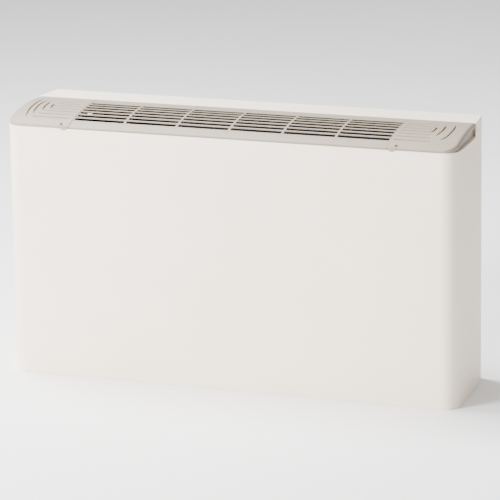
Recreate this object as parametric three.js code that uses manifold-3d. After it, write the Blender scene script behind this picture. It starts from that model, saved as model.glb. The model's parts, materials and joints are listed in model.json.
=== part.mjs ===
// Fan convector heater: a cased hydronic fan coil unit for mounting on a wall.
// Millimetres, +Z up. The front faces -Y, the wall is at +Y, and the bottom edge is at Z = 0.

import * as THREE from 'three';
import { mergeVertices } from 'three/addons/utils/BufferGeometryUtils.js';
import Module from 'manifold-3d';

const wasm = await Module();
wasm.setup();

// ---------------------------------------------------------------- driving dimensions

const DEPTH = 220;
const HEIGHT = 512;
const HALF_WIDTH = 447;
const FRONT_Y = -DEPTH / 2;
const REAR_Y = DEPTH / 2;
const GAP = 0.3;
const SHEET = 1.5;

// casing: one wrapped sheet with round front corners and gently bowed sides
const CORNER_RADIUS = 29.4;
const SIDE_BOW_RADIUS = 1180;
const CASING_TOP = 485.5;
const DECK_FRONT_Y = 41.3;
const HEM = 14;
const CUT_CORNER = 9;

// plastic top: convex from front to back, six grille modules between two hinged flaps
const MODULE_COUNT = 6;
const MODULE_PITCH = 105;
const GRILLE_HALF = MODULE_COUNT * MODULE_PITCH / 2;
const PLASTIC_FRONT_Y = FRONT_Y + 0.5;
const PLASTIC_REAR_Y = 39;
const PLASTIC_BOTTOM = CASING_TOP + GAP;
const PLASTIC_WALL = 2.2;
const REAR_SKIRT_BOTTOM = 505;
const CROWN_Y = 8;
const CROWN_RADIUS = 330;
const NOSE_RADIUS = 3;
const SLOT_COUNT = 7;
const SLOT_PITCH = 13.8;
const SLOT_WIDTH = 9;
const FIRST_SLOT_Y = -81.2;
const RIB_WIDTH = 4;
const FLAP_INSET = 1.6;
const LOCK_X = 332;
const LOCK_Y = -102;
const TAB_X = 325;
const TAB_RADIUS = 7.5;
const TAB_Z = CASING_TOP + 4.5;
const TAB_TOP = CASING_TOP + 2.5;

// chassis: two side plates part the air section from the service bays
const BAY_PLATE_X = 331.5;
const BAY = [BAY_PLATE_X, BAY_PLATE_X + SHEET];
const CHASSIS_FRONT_Y = -98.8;
const CHASSIS_REAR_Y = REAR_Y - SHEET - GAP;
const BACK_HALF_WIDTH = 356;
const BACK_BOTTOM = 60;
const BACK_TOP = 488;
const WALL_SLOT_X = 344;
const WALL_SLOT_LOW_Z = 130;
const WALL_SLOT_HIGH_Z = 430;
const FAN_DECK_Z = 188.5;
const BAFFLE_Z = [30, 470];
const FOAM = 6;
const FRONT_FOAM_Z = [238, 460];
const REAR_FOAM_Z = [300, 508];
const SIDE_FOAM_Y = [-92, 101];
const SIDE_FOAM_Z = [440, 506];
const HINGE_SWEEP_Y = [8, 46];
const HINGE_SWEEP_Z = 483;
const FOAM_UNDER_TOP = 6;
const FOAM_HALF = 320;

// brackets that tie the casing to the chassis
const BRACKET_X = 421;
const BRACKET_Z = { lower: 90, upper: 440 };
const BRACKET_REACH = 428.5;
const SCREW_HOLE = 3;

// fans: two double-inlet blowers on one shaft, with the motor between them
const SHAFT_Y = 10;
const SHAFT_Z = 100;
const SHAFT_RADIUS = 6;
const SHAFT_HALF = 285;
const FAN_CENTRE_X = 175;
const SCROLL_WIDTH = 200;
const WHEEL_WIDTH = 186;
const WHEEL_RADIUS = 62;
const BLADE_COUNT = 16;
const SCROLL_START = 70;
const SCROLL_END = 92;
const OUTLET_TONGUE_Y = -25;
const OUTLET_WALL_Y = SHAFT_Y + SCROLL_END;
const INLET_RADIUS = 52;
const MOTOR_RADIUS = 42;
const MOTOR_HALF = 48;

// coil: a slanted two-row block, one serpentine tube and two headers in the left bay
const COIL_Y = -10;
const COIL_Z = 330;
const COIL_LEAN = 25 * Math.PI / 180;
const COIL_HALF_X = 290;
const COIL_HALF_LENGTH = 105;
const COIL_HALF_DEPTH = 22;
const TUBE_RADIUS = 5;
const TUBE_ROW = 11;
const TUBE_STEPS = [-75, -25, 25, 75];
const HEADER_X = -358;
const HEADER_RADIUS = 9;
const END_PLATE_X = COIL_HALF_X + GAP;
const TUBE_X = END_PLATE_X + SHEET + 3;
const COLLAR_X = HEADER_X + 4;
const VENT_TOP = 334;

// condensate: a pan under the coil, its drain, and a tray under the valves
const PAN_HALF = 331;
const PAN_REAR_Y = -29;
const PAN_Z = [201, 224];
const DRAIN_RADIUS = 8;
const DRAIN_Y = -75;
const DRAIN_Z = 211;
const VALVE_TRAY_Y = [-90, 20];
const VALVE_TRAY_Z = [150, 172];

// filter: a framed net across the open bottom, held by two rails
const FILTER_HALF = 322;
const FILTER_FRONT = -92;
const FILTER_REAR = 98;
const FILTER_Z = [3, 11];
const FILTER_RIM = 12;
const RAIL_TOP = 22;

// controls in the right bay
const BOX_X = [BAY[1] + GAP, 428];
const BOX_Y = [-72, 36];
const BOX_Z = [392, 470];
const PANEL_Z = [BOX_Z[1] + GAP, BOX_Z[1] + GAP + 2.5];
const KNOB_X = 382;
const SPEED_Y = -46;
const THERMOSTAT_Y = 8;
const SPINDLE_HOLE = 4.5;
const GLAND_X = 400;
const GLAND_Y = 15;

// ---------------------------------------------------------------- shape helpers

function toSolid(geometry) {
  const bare = geometry.clone();
  bare.deleteAttribute('normal');
  bare.deleteAttribute('uv');
  const merged = mergeVertices(bare, 1e-4);
  return new wasm.Manifold(new wasm.Mesh({
    numProp: 3,
    vertProperties: new Float32Array(merged.attributes.position.array),
    triVerts: new Uint32Array(merged.index.array),
  }));
}

function toGeometry(solid) {
  const mesh = solid.getMesh();
  const geometry = new THREE.BufferGeometry();
  geometry.setAttribute('position', new THREE.BufferAttribute(mesh.vertProperties, 3));
  geometry.setIndex(new THREE.BufferAttribute(mesh.triVerts, 1));
  geometry.computeVertexNormals();
  return geometry;
}

function cut(body, ...tools) {
  return toGeometry(tools.reduce((rest, tool) => rest.subtract(toSolid(tool)), toSolid(body)));
}

function join(first, ...others) {
  return toGeometry(others.reduce((sum, other) => sum.add(toSolid(other)), toSolid(first)));
}

function common(first, second) {
  return toGeometry(toSolid(first).intersect(toSolid(second)));
}

function box(x, y, z) {
  const geometry = new THREE.BoxGeometry(x[1] - x[0], y[1] - y[0], z[1] - z[0]);
  return geometry.translate((x[0] + x[1]) / 2, (y[0] + y[1]) / 2, (z[0] + z[1]) / 2);
}

// a plan shape (x, y) raised between two heights
function raise(shape, bottom, top, curveSegments = 10) {
  const depth = top - bottom;
  const geometry = new THREE.ExtrudeGeometry(shape, { depth, bevelEnabled: false, curveSegments });
  return geometry.translate(0, 0, bottom);
}

// a side shape (y, z) run between two x positions
function run(shape, from, to, curveSegments = 10) {
  const depth = to - from;
  const geometry = new THREE.ExtrudeGeometry(shape, { depth, bevelEnabled: false, curveSegments });
  const basis = new THREE.Matrix4().makeBasis(
    new THREE.Vector3(0, 1, 0), new THREE.Vector3(0, 0, 1), new THREE.Vector3(1, 0, 0));
  return geometry.applyMatrix4(basis).translate(from, 0, 0);
}

function polygon(points) {
  return new THREE.Shape(points.map(([u, v]) => new THREE.Vector2(u, v)));
}

function arc(x, y, radius, start, end, steps) {
  const points = [];
  for (let step = 0; step <= steps; step += 1) {
    const angle = start + (end - start) * step / steps;
    points.push([x + radius * Math.cos(angle), y + radius * Math.sin(angle)]);
  }
  return points;
}

function barX(radius, y, z, from, to, sides = 16) {
  const geometry = new THREE.CylinderGeometry(radius, radius, to - from, sides);
  return geometry.rotateZ(Math.PI / 2).translate((from + to) / 2, y, z);
}

function barY(radius, x, z, from, to, sides = 16) {
  const geometry = new THREE.CylinderGeometry(radius, radius, to - from, sides);
  return geometry.translate(x, (from + to) / 2, z);
}

function barZ(radius, x, y, from, to, sides = 16) {
  const geometry = new THREE.CylinderGeometry(radius, radius, to - from, sides);
  return geometry.rotateX(Math.PI / 2).translate(x, y, (from + to) / 2);
}

const heater = new THREE.Group();

function addPart(name, geometry, finish, parent = heater) {
  const material = new THREE.MeshStandardMaterial(finish);
  const mesh = new THREE.Mesh(geometry, material);
  mesh.name = name;
  parent.add(mesh);
  return mesh;
}

// ---------------------------------------------------------------- finishes

const CREAM_STEEL = { color: '#ebe6e2', roughness: 0.45, metalness: 0.0 };
const GREIGE_PLASTIC = { color: '#dad3cb', roughness: 0.5, metalness: 0.0 };
const GALVANISED = { color: '#b4b8ba', roughness: 0.42, metalness: 0.9 };
const ALUMINIUM = { color: '#c9ccce', roughness: 0.35, metalness: 1.0 };
const COPPER = { color: '#b8693e', roughness: 0.3, metalness: 1.0 };
const BRASS = { color: '#b99a4f', roughness: 0.32, metalness: 1.0 };
const BLACK_PLASTIC = { color: '#1d1d1f', roughness: 0.5, metalness: 0.0 };
const WHITE_PLASTIC = { color: '#e6e4de', roughness: 0.5, metalness: 0.0 };
const ZINC_SCREW = { color: '#9da1a4', roughness: 0.35, metalness: 1.0 };
const FILTER_CLOTH = { color: '#3a3d40', roughness: 0.95, metalness: 0.0 };
const GREY_FOAM = { color: '#4c4e50', roughness: 0.95, metalness: 0.0 };
const MOTOR_PAINT = { color: '#3b4147', roughness: 0.45, metalness: 0.6 };

// ---------------------------------------------------------------- casing

const CORNER_X = HALF_WIDTH - CORNER_RADIUS;
const CORNER_Y = FRONT_Y + CORNER_RADIUS;
const BOW_CENTRE_X = HALF_WIDTH - SIDE_BOW_RADIUS;

// plan outline of the casing, moved inwards by `inset` and closed off at `rear`
function outline(inset, rear) {
  const corner = CORNER_RADIUS - inset;
  const bow = SIDE_BOW_RADIUS - inset;
  const turn = Math.asin((rear - CORNER_Y) / bow);
  const quarter = Math.PI / 2;
  const right = [
    ...arc(CORNER_X, CORNER_Y, corner, -quarter, 0, 8),
    ...arc(BOW_CENTRE_X, CORNER_Y, bow, 0, turn, 5).slice(1),
  ];
  const left = right.map(([x, y]) => [-x, y]).reverse();
  return polygon([...right, ...left]);
}

// a hem folded inwards from the casing's sheet
function hem(bottom, rear) {
  const outer = raise(outline(0, rear), bottom, bottom + SHEET);
  return cut(outer, raise(outline(HEM, REAR_Y + HEM), bottom - 1, bottom + SHEET + 1));
}

// side view of what is cut away above the casing: level, with a round lower rear corner
function overCasing() {
  const y = DECK_FRONT_Y - CUT_CORNER;
  const z = CASING_TOP + CUT_CORNER;
  return polygon([
    ...arc(y, z, CUT_CORNER, -Math.PI / 2, 0, 5),
    [DECK_FRONT_Y, HEIGHT],
    [FRONT_Y - 1, HEIGHT],
    [FRONT_Y - 1, CASING_TOP],
  ]);
}

function casingShell() {
  const rear = CHASSIS_REAR_Y;
  const top = HEIGHT - SHEET - GAP;
  const everything = [-HALF_WIDTH - 1, HALF_WIDTH + 1];
  const wrap = cut(
    raise(outline(0, rear), 0, top),
    raise(outline(SHEET, REAR_Y), -1, top + 1),
    run(overCasing(), ...everything),
  );
  const flangeInner = 412;
  const flangeOuter = 431;
  const flanges = [-1, 1].map((side) => {
    const xs = [side * flangeInner, side * flangeOuter].sort((a, b) => a - b);
    return box(xs, [rear - SHEET, rear], [SHEET, top]);
  });
  const whole = join(wrap, hem(0, rear), hem(CASING_TOP - SHEET, DECK_FRONT_Y), ...flanges);
  const notches = [-TAB_X, TAB_X].map(
    (x) => barY(TAB_RADIUS + GAP, x, TAB_Z, FRONT_Y - 1, FRONT_Y + 5, 24));
  const lockHoles = [-LOCK_X, LOCK_X].map(
    (x) => barZ(5, x, LOCK_Y, CASING_TOP - SHEET - 1, CASING_TOP + 1));
  const screwHoles = bracketPlaces().map(
    ({ x, z }) => barY(SCREW_HOLE, x, z, rear - SHEET - 1, rear + 1, 12));
  return cut(whole, ...notches, ...lockHoles, ...screwHoles);
}

// where the casing is screwed to the chassis, seen from the front
function bracketPlaces() {
  const places = [];
  for (const [sideName, side] of [['left', -1], ['right', 1]]) {
    for (const [levelName, z] of Object.entries(BRACKET_Z)) {
      places.push({ name: `${sideName}_${levelName}`, side, x: side * BRACKET_X, z });
    }
  }
  return places;
}

function rearDeck() {
  const reach = [DECK_FRONT_Y, REAR_Y];
  const plate = common(
    raise(outline(0, REAR_Y), HEIGHT - SHEET, HEIGHT),
    box([-HALF_WIDTH, HALF_WIDTH], reach, [HEIGHT - SHEET - 1, HEIGHT + 1]),
  );
  const lipDrop = 7;
  const lip = box([-434, 434], [DECK_FRONT_Y, DECK_FRONT_Y + SHEET], [HEIGHT - lipDrop, HEIGHT - 0.5]);
  const flange = box([-430, 430], [REAR_Y - SHEET, REAR_Y], [BACK_TOP + GAP, HEIGHT - 0.5]);
  return join(plate, lip, flange);
}

addPart('casing_shell', casingShell(), CREAM_STEEL);
addPart('rear_deck', rearDeck(), CREAM_STEEL);

function casingBracket(side, z) {
  const half = 15;
  const reach = [BAY[1] + GAP, BRACKET_REACH];
  const foot = [reach[0], reach[0] + SHEET];
  const rear = CHASSIS_REAR_Y - SHEET - GAP;
  const xs = (pair) => pair.map((x) => x * side).sort((a, b) => a - b);
  const arm = box(xs(reach), [rear - SHEET, rear], [z - half, z + half]);
  const pad = box(xs(foot), [rear - 26, rear], [z - half, z + half]);
  return cut(join(arm, pad), barY(SCREW_HOLE, side * BRACKET_X, z, rear - SHEET - 1, rear + 1, 12));
}

function casingScrew(x, z) {
  const rear = CHASSIS_REAR_Y - SHEET - GAP;
  const head = barY(5, x, z, rear - SHEET - GAP - 3, rear - SHEET - GAP, 16);
  const shank = barY(2.5, x, z, rear - SHEET - GAP - 0.5, CHASSIS_REAR_Y, 12);
  return join(head, shank);
}

for (const { name, side, x, z } of bracketPlaces()) {
  addPart(`casing_bracket_${name}`, casingBracket(side, z), GALVANISED);
  addPart(`casing_screw_${name}`, casingScrew(x, z), ZINC_SCREW);
}

// ---------------------------------------------------------------- plastic top

// height of the plastic's upper surface: a crown arc in front, level behind it
function topHeight(y) {
  const ahead = Math.max(CROWN_Y - y, 0);
  return HEIGHT - CROWN_RADIUS + Math.sqrt(CROWN_RADIUS ** 2 - ahead ** 2);
}

// filled side profile under the upper surface, lowered by `drop` and drawn in by `inset`
function topProfile(drop, inset, bottom) {
  const front = PLASTIC_FRONT_Y + inset;
  const noseY = front + NOSE_RADIUS;
  const noseZ = topHeight(noseY) - drop;
  const shape = new THREE.Shape();
  shape.moveTo(PLASTIC_REAR_Y - inset, bottom);
  shape.lineTo(PLASTIC_REAR_Y - inset, HEIGHT - drop);
  const steps = 10;
  for (let step = 0; step <= steps; step += 1) {
    const y = CROWN_Y + (noseY - CROWN_Y) * step / steps;
    shape.lineTo(y, topHeight(y) - drop);
  }
  shape.quadraticCurveTo(front, noseZ - 0.8, front, noseZ - NOSE_RADIUS);
  shape.lineTo(front, bottom);
  return shape;
}

function grilleModule(index) {
  const from = -GRILLE_HALF + index * MODULE_PITCH + GAP / 2;
  const to = from + MODULE_PITCH - GAP;
  const skin = cut(
    run(topProfile(0, 0, PLASTIC_BOTTOM), from, to, 4),
    run(topProfile(PLASTIC_WALL, PLASTIC_WALL, PLASTIC_BOTTOM - 1), from - 1, to + 1, 4),
  );
  const slots = [];
  for (let slot = 0; slot < SLOT_COUNT; slot += 1) {
    const y = FIRST_SLOT_Y + slot * SLOT_PITCH;
    const ys = [y - SLOT_WIDTH / 2, y + SLOT_WIDTH / 2];
    slots.push(box([from + RIB_WIDTH / 2, to - RIB_WIDTH / 2], ys, [PLASTIC_BOTTOM + 5, HEIGHT + 1]));
  }
  const rear = [PLASTIC_REAR_Y - PLASTIC_WALL - 1, PLASTIC_REAR_Y + 1];
  const underRear = box([from - 1, to + 1], rear, [PLASTIC_BOTTOM - 1, REAR_SKIRT_BOTTOM]);
  return cut(skin, underRear, ...slots);
}

for (let index = 0; index < MODULE_COUNT; index += 1) {
  addPart(`grille_module_${index + 1}`, grilleModule(index), GREIGE_PLASTIC);
}

// plan outline of a flap: it follows the casing and has a round rear corner
function flapPlan(inset, rearRadius) {
  const rear = PLASTIC_REAR_Y - inset;
  const plain = raise(outline(FLAP_INSET + inset, rear), PLASTIC_BOTTOM - 2, HEIGHT + 2);
  const rim = BOW_CENTRE_X + Math.sqrt((SIDE_BOW_RADIUS - FLAP_INSET) ** 2 - (rear - CORNER_Y) ** 2) - inset;
  const corner = new THREE.Shape();
  corner.moveTo(rim - rearRadius, rear);
  corner.absarc(rim - rearRadius, rear - rearRadius, rearRadius, Math.PI / 2, 0, true);
  corner.lineTo(rim + 5, rear - rearRadius);
  corner.lineTo(rim + 5, rear + 5);
  corner.lineTo(rim - rearRadius, rear + 5);
  return cut(plain, raise(corner, PLASTIC_BOTTOM - 3, HEIGHT + 3, 6));
}

// what the flap loses at its lower rear corner, to follow the casing
function flapCorner() {
  const radius = CUT_CORNER - GAP;
  const y = PLASTIC_REAR_Y - radius;
  const z = PLASTIC_BOTTOM + radius;
  const shape = polygon([
    ...arc(y, z, radius, -Math.PI / 2, 0, 5),
    [PLASTIC_REAR_Y + 1, z],
    [PLASTIC_REAR_Y + 1, PLASTIC_BOTTOM - 1],
    [y, PLASTIC_BOTTOM - 1],
  ]);
  return run(shape, GRILLE_HALF, HALF_WIDTH);
}

function rightFlap() {
  const inner = GRILLE_HALF + GAP;
  const block = common(run(topProfile(0, 0, PLASTIC_BOTTOM), inner, HALF_WIDTH, 4), flapPlan(0, 3));
  const hollow = common(
    run(topProfile(PLASTIC_WALL, PLASTIC_WALL, PLASTIC_BOTTOM - 1), inner - 1, HALF_WIDTH, 4),
    flapPlan(PLASTIC_WALL, 2),
  );
  const bossTop = topHeight(LOCK_Y) - 1;
  const boss = barZ(6, LOCK_X, LOCK_Y, PLASTIC_BOTTOM, bossTop);
  const tab = cut(
    barY(TAB_RADIUS, TAB_X, TAB_Z, PLASTIC_FRONT_Y, PLASTIC_FRONT_Y + 2.2, 24),
    box([TAB_X - 10, TAB_X + 10], [FRONT_Y - 1, FRONT_Y + 5], [TAB_TOP, TAB_Z + 10]),
  );
  const lockHole = barZ(3.6, LOCK_X, LOCK_Y, PLASTIC_BOTTOM - 1, HEIGHT);
  return cut(join(cut(block, hollow), boss, tab), lockHole, flapCorner());
}

function mirrored(geometry) {
  return toGeometry(toSolid(geometry).mirror([1, 0, 0]));
}

function lockScrew(x) {
  const headTop = topHeight(LOCK_Y) - 2;
  const head = barZ(3.2, x, LOCK_Y, headTop - 3, headTop);
  const slot = box([x - 4, x + 4], [LOCK_Y - 0.5, LOCK_Y + 0.5], [headTop - 1, headTop + 1]);
  return join(cut(head, slot), barZ(2, x, LOCK_Y, CASING_TOP - 5, headTop - 2.5, 12));
}

const flap = rightFlap();
addPart('right_flap', flap, GREIGE_PLASTIC);
addPart('left_flap', mirrored(flap), GREIGE_PLASTIC);
addPart('right_lock_screw', lockScrew(LOCK_X), ZINC_SCREW);
addPart('left_lock_screw', lockScrew(-LOCK_X), ZINC_SCREW);

// ---------------------------------------------------------------- chassis

function sideSpan(side, near, far) {
  return [side * near, side * far].sort((a, b) => a - b);
}

// the left plate has holes for both coil tubes and the drain
function bayPlate(side) {
  const plate = box(sideSpan(side, ...BAY), [CHASSIS_FRONT_Y, CHASSIS_REAR_Y], [2, 478]);
  const footHem = box(sideSpan(side, BAY[0], BAY[0] - 12), [-90, 96], [14, 14 + SHEET]);
  const body = join(plate, footHem);
  const through = sideSpan(side, BAY[0] - 2, BAY[1] + 2);
  if (side > 0) {
    return cut(body, barX(9, 60, 410, ...through));
  }
  const tubeHoles = tubeEnds().map(({ y, z }) => barX(TUBE_RADIUS + 2, y, z, ...through));
  return cut(body, ...tubeHoles, barX(DRAIN_RADIUS + GAP, DRAIN_Y, DRAIN_Z, ...through));
}

// world place of a coil tube from its row offset and its step along the slant
function coilPlace(row, step) {
  const y = COIL_Y + row * Math.cos(COIL_LEAN) + step * Math.sin(COIL_LEAN);
  const z = COIL_Z - row * Math.sin(COIL_LEAN) + step * Math.cos(COIL_LEAN);
  return { y, z };
}

function tubeEnds() {
  return [coilPlace(-TUBE_ROW, TUBE_STEPS[0]), coilPlace(TUBE_ROW, TUBE_STEPS[0])];
}

addPart('chassis_left_plate', bayPlate(-1), GALVANISED);
addPart('chassis_right_plate', bayPlate(1), GALVANISED);

// an upright fixing slot: a round entry hole with a narrower slot above it
function keyhole(x, z) {
  const depth = [REAR_Y - SHEET - 1, REAR_Y + 1];
  return join(
    barY(6, x, z, ...depth),
    box([x - 3, x + 3], depth, [z, z + 14]),
    barY(3, x, z + 14, ...depth, 12),
  );
}

function rearPlate() {
  const plate = box([-BACK_HALF_WIDTH, BACK_HALF_WIDTH], [REAR_Y - SHEET, REAR_Y], [BACK_BOTTOM, BACK_TOP]);
  const slots = [-WALL_SLOT_X, WALL_SLOT_X].flatMap(
    (x) => [keyhole(x, WALL_SLOT_LOW_Z), keyhole(x, WALL_SLOT_HIGH_Z)]);
  return cut(plate, ...slots);
}

addPart('chassis_rear_plate', rearPlate(), GALVANISED);

const WITHIN_BAYS = [-BAY_PLATE_X + 0.5, BAY_PLATE_X - 0.5];
const BAFFLE_Y = [CHASSIS_FRONT_Y - GAP - SHEET, CHASSIS_FRONT_Y - GAP];
addPart('front_baffle', box(WITHIN_BAYS, BAFFLE_Y, BAFFLE_Z), GALVANISED);
const FOAM_X = [-FOAM_HALF, FOAM_HALF];
addPart('baffle_insulation',
  box(FOAM_X, [CHASSIS_FRONT_Y, CHASSIS_FRONT_Y + FOAM], FRONT_FOAM_Z), GREY_FOAM);
addPart('rear_insulation',
  box(FOAM_X, [CHASSIS_REAR_Y - FOAM, CHASSIS_REAR_Y], REAR_FOAM_Z), GREY_FOAM);

// side view of the foam beside the grille: under the crown, and clear of the flap's rear skirt
function sideFoamShape() {
  const [front, rear] = SIDE_FOAM_Y;
  const [bottom, top] = SIDE_FOAM_Z;
  const [sweepFront, sweepRear] = HINGE_SWEEP_Y;
  const crown = [];
  const steps = 6;
  for (let step = 0; step <= steps; step += 1) {
    const y = sweepFront + (front - sweepFront) * step / steps;
    crown.push([y, topHeight(y) - FOAM_UNDER_TOP]);
  }
  return polygon([
    [front, bottom],
    [rear, bottom],
    [rear, top],
    [sweepRear, top],
    [sweepRear, HINGE_SWEEP_Z],
    [sweepFront, HINGE_SWEEP_Z],
    ...crown,
  ]);
}

for (const [name, side] of [['left', -1], ['right', 1]]) {
  const across = sideSpan(side, BAY_PLATE_X - GAP - FOAM, BAY_PLATE_X - GAP);
  addPart(`${name}_insulation`, run(sideFoamShape(), ...across), GREY_FOAM);
}

// ---------------------------------------------------------------- fan section

// spiral from the tongue round the bottom to the outlet's rear wall, drawn in by `inset`
function scrollShape(inset, top) {
  const startAngle = Math.PI * 2 / 3;
  const endAngle = Math.PI * 2;
  const steps = 14;
  const shape = new THREE.Shape();
  shape.moveTo(OUTLET_TONGUE_Y + inset, top);
  for (let step = 0; step <= steps; step += 1) {
    const angle = startAngle + (endAngle - startAngle) * step / steps;
    const radius = SCROLL_START + (SCROLL_END - SCROLL_START) * step / steps - inset;
    shape.lineTo(SHAFT_Y + radius * Math.cos(angle), SHAFT_Z + radius * Math.sin(angle));
  }
  shape.lineTo(OUTLET_WALL_Y - inset, top);
  return shape;
}

function fanScroll(centre) {
  const from = centre - SCROLL_WIDTH / 2;
  const to = centre + SCROLL_WIDTH / 2;
  const top = FAN_DECK_Z - GAP;
  return cut(
    run(scrollShape(0, top), from, to),
    run(scrollShape(SHEET, top + 1), from + SHEET, to - SHEET),
    barX(INLET_RADIUS, SHAFT_Y, SHAFT_Z, from - 1, to + 1, 32),
  );
}

// forward-curved squirrel cage: blades between two end rings, with a disc in the middle
function fanWheel(centre) {
  const half = WHEEL_WIDTH / 2;
  const bore = SHAFT_RADIUS + GAP;
  const ring = (from, to, outer, inner) => cut(
    barX(outer, SHAFT_Y, SHAFT_Z, from, to, outer < 20 ? 16 : 24),
    barX(inner, SHAFT_Y, SHAFT_Z, from - 1, to + 1, inner < 20 ? 16 : 24),
  );
  const rim = WHEEL_RADIUS;
  const parts = [
    ring(centre - half, centre - half + 3, rim, rim - 9),
    ring(centre + half - 3, centre + half, rim, rim - 9),
    ring(centre - 1.5, centre + 1.5, rim - 1, bore),
    ring(centre - 14, centre + 14, 13, bore),
  ];
  for (let blade = 0; blade < BLADE_COUNT; blade += 1) {
    const vane = box([-half + 1, half - 1], [-0.6, 0.6], [-5, 5]);
    vane.rotateX(0.6);
    vane.translate(centre, 0, rim - 6);
    vane.rotateX(blade * Math.PI * 2 / BLADE_COUNT);
    vane.translate(0, SHAFT_Y, SHAFT_Z);
    parts.push(vane);
  }
  return join(...parts);
}

function fanDeck() {
  const plate = box(WITHIN_BAYS, [CHASSIS_FRONT_Y, CHASSIS_REAR_Y], [FAN_DECK_Z, FAN_DECK_Z + SHEET]);
  const half = SCROLL_WIDTH / 2 - SHEET;
  const outlets = [-FAN_CENTRE_X, FAN_CENTRE_X].map((x) => box([x - half, x + half],
    [OUTLET_TONGUE_Y + SHEET, OUTLET_WALL_Y - SHEET], [FAN_DECK_Z - 1, FAN_DECK_Z + SHEET + 1]));
  return cut(plate, ...outlets);
}

addPart('fan_deck', fanDeck(), GALVANISED);
for (const [name, side] of [['left', -1], ['right', 1]]) {
  addPart(`${name}_fan_scroll`, fanScroll(side * FAN_CENTRE_X), GALVANISED);
  addPart(`${name}_fan_wheel`, fanWheel(side * FAN_CENTRE_X), BLACK_PLASTIC);
}
addPart('fan_shaft', barX(SHAFT_RADIUS, SHAFT_Y, SHAFT_Z, -SHAFT_HALF, SHAFT_HALF, 20), ZINC_SCREW);

function motorBody() {
  const can = barX(MOTOR_RADIUS, SHAFT_Y, SHAFT_Z, -MOTOR_HALF + 8, MOTOR_HALF - 8, 32);
  const shields = barX(MOTOR_RADIUS - 5, SHAFT_Y, SHAFT_Z, -MOTOR_HALF, MOTOR_HALF, 32);
  const noses = barX(15, SHAFT_Y, SHAFT_Z, -MOTOR_HALF - 10, MOTOR_HALF + 10, 20);
  const bore = barX(SHAFT_RADIUS + 0.6, SHAFT_Y, SHAFT_Z, -MOTOR_HALF - 12, MOTOR_HALF + 12, 20);
  return cut(join(can, shields, noses), bore);
}

function motorCradle() {
  const inner = MOTOR_RADIUS + GAP;
  const outer = inner + 2.5;
  const width = [-14, 14];
  const legTop = FAN_DECK_Z - GAP;
  const legs = [-1, 1].map((side) => box(width,
    [SHAFT_Y + side * outer, SHAFT_Y + side * (outer - 2.5)].sort((a, b) => a - b), [SHAFT_Z, legTop]));
  const band = barX(outer, SHAFT_Y, SHAFT_Z, ...width, 32);
  return cut(join(band, ...legs), barX(inner + 0.3, SHAFT_Y, SHAFT_Z, width[0] - 1, width[1] + 1, 32));
}

addPart('fan_motor', motorBody(), MOTOR_PAINT);
addPart('motor_cradle', motorCradle(), GALVANISED);
addPart('run_capacitor', barX(17, -78, FAN_DECK_Z - GAP - 17.5, -35, 35, 24), WHITE_PLASTIC);

// ---------------------------------------------------------------- coil

const coil = new THREE.Group();
coil.position.set(0, COIL_Y, COIL_Z);
coil.rotation.x = -COIL_LEAN;
heater.add(coil);

const TUBES = [-TUBE_ROW, TUBE_ROW].flatMap((row) => TUBE_STEPS.map((step) => ({ row, step })));

function tubeBores(from, to, clearance) {
  return TUBES.map(({ row, step }) => barX(TUBE_RADIUS + clearance, row, step, from, to, 8));
}

// finned block: a comb of shallow grooves on both faces
function finBlock() {
  const fins = 19;
  const pitch = 2 * COIL_HALF_X / fins;
  const grooveDepth = 3;
  const grooveWidth = pitch * 0.4;
  const shape = new THREE.Shape();
  shape.moveTo(-COIL_HALF_X, -COIL_HALF_DEPTH);
  for (const face of [-1, 1]) {
    for (let fin = 1; fin < fins; fin += 1) {
      const x = -face * (-COIL_HALF_X + fin * pitch);
      const floor = face * (COIL_HALF_DEPTH - grooveDepth);
      const rim = face * COIL_HALF_DEPTH;
      shape.lineTo(x + face * grooveWidth / 2, rim);
      shape.lineTo(x + face * grooveWidth / 2, floor);
      shape.lineTo(x - face * grooveWidth / 2, floor);
      shape.lineTo(x - face * grooveWidth / 2, rim);
    }
    shape.lineTo(-face * COIL_HALF_X, face * COIL_HALF_DEPTH);
    shape.lineTo(-face * COIL_HALF_X, -face * COIL_HALF_DEPTH);
  }
  const block = raise(shape, -COIL_HALF_LENGTH, COIL_HALF_LENGTH);
  return cut(block, ...tubeBores(-COIL_HALF_X - 1, COIL_HALF_X + 1, GAP + 0.2));
}

function coilEndPlate(side) {
  const plate = box(sideSpan(side, END_PLATE_X, END_PLATE_X + SHEET),
    [-COIL_HALF_DEPTH, COIL_HALF_DEPTH], [-COIL_HALF_LENGTH, COIL_HALF_LENGTH]);
  const ears = [-1, 1].map((end) => box(sideSpan(side, END_PLATE_X, BAY_PLATE_X - GAP),
    [-COIL_HALF_DEPTH, COIL_HALF_DEPTH],
    sideSpan(end, COIL_HALF_LENGTH - SHEET, COIL_HALF_LENGTH)));
  const bores = tubeBores(...sideSpan(side, END_PLATE_X - 1, END_PLATE_X + SHEET + 1), GAP + 0.2);
  return cut(join(plate, ...ears), ...bores);
}

class ReturnCurve extends THREE.Curve {
  constructor(x, side, first, second) {
    super();
    this.x = x;
    this.side = side;
    this.first = new THREE.Vector2(first.row, first.step);
    this.second = new THREE.Vector2(second.row, second.step);
  }

  getPoint(t) {
    const middle = this.first.clone().add(this.second).multiplyScalar(0.5);
    const arm = this.first.clone().sub(this.second).multiplyScalar(0.5);
    const angle = Math.PI * t;
    const across = middle.addScaledVector(arm, Math.cos(angle));
    const reach = this.side * arm.length() * Math.sin(angle);
    return new THREE.Vector3(this.x + reach, across.x, across.y);
  }
}

// round section for a bend, matched to the straight tubes
function returnBend(side, first, second) {
  const section = new THREE.Shape();
  section.absarc(0, 0, TUBE_RADIUS, 0, Math.PI * 2, false);
  const path = new ReturnCurve(side * (TUBE_X - 0.2), side, first, second);
  return new THREE.ExtrudeGeometry(section, { steps: 6, extrudePath: path, curveSegments: 4 });
}

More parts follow.
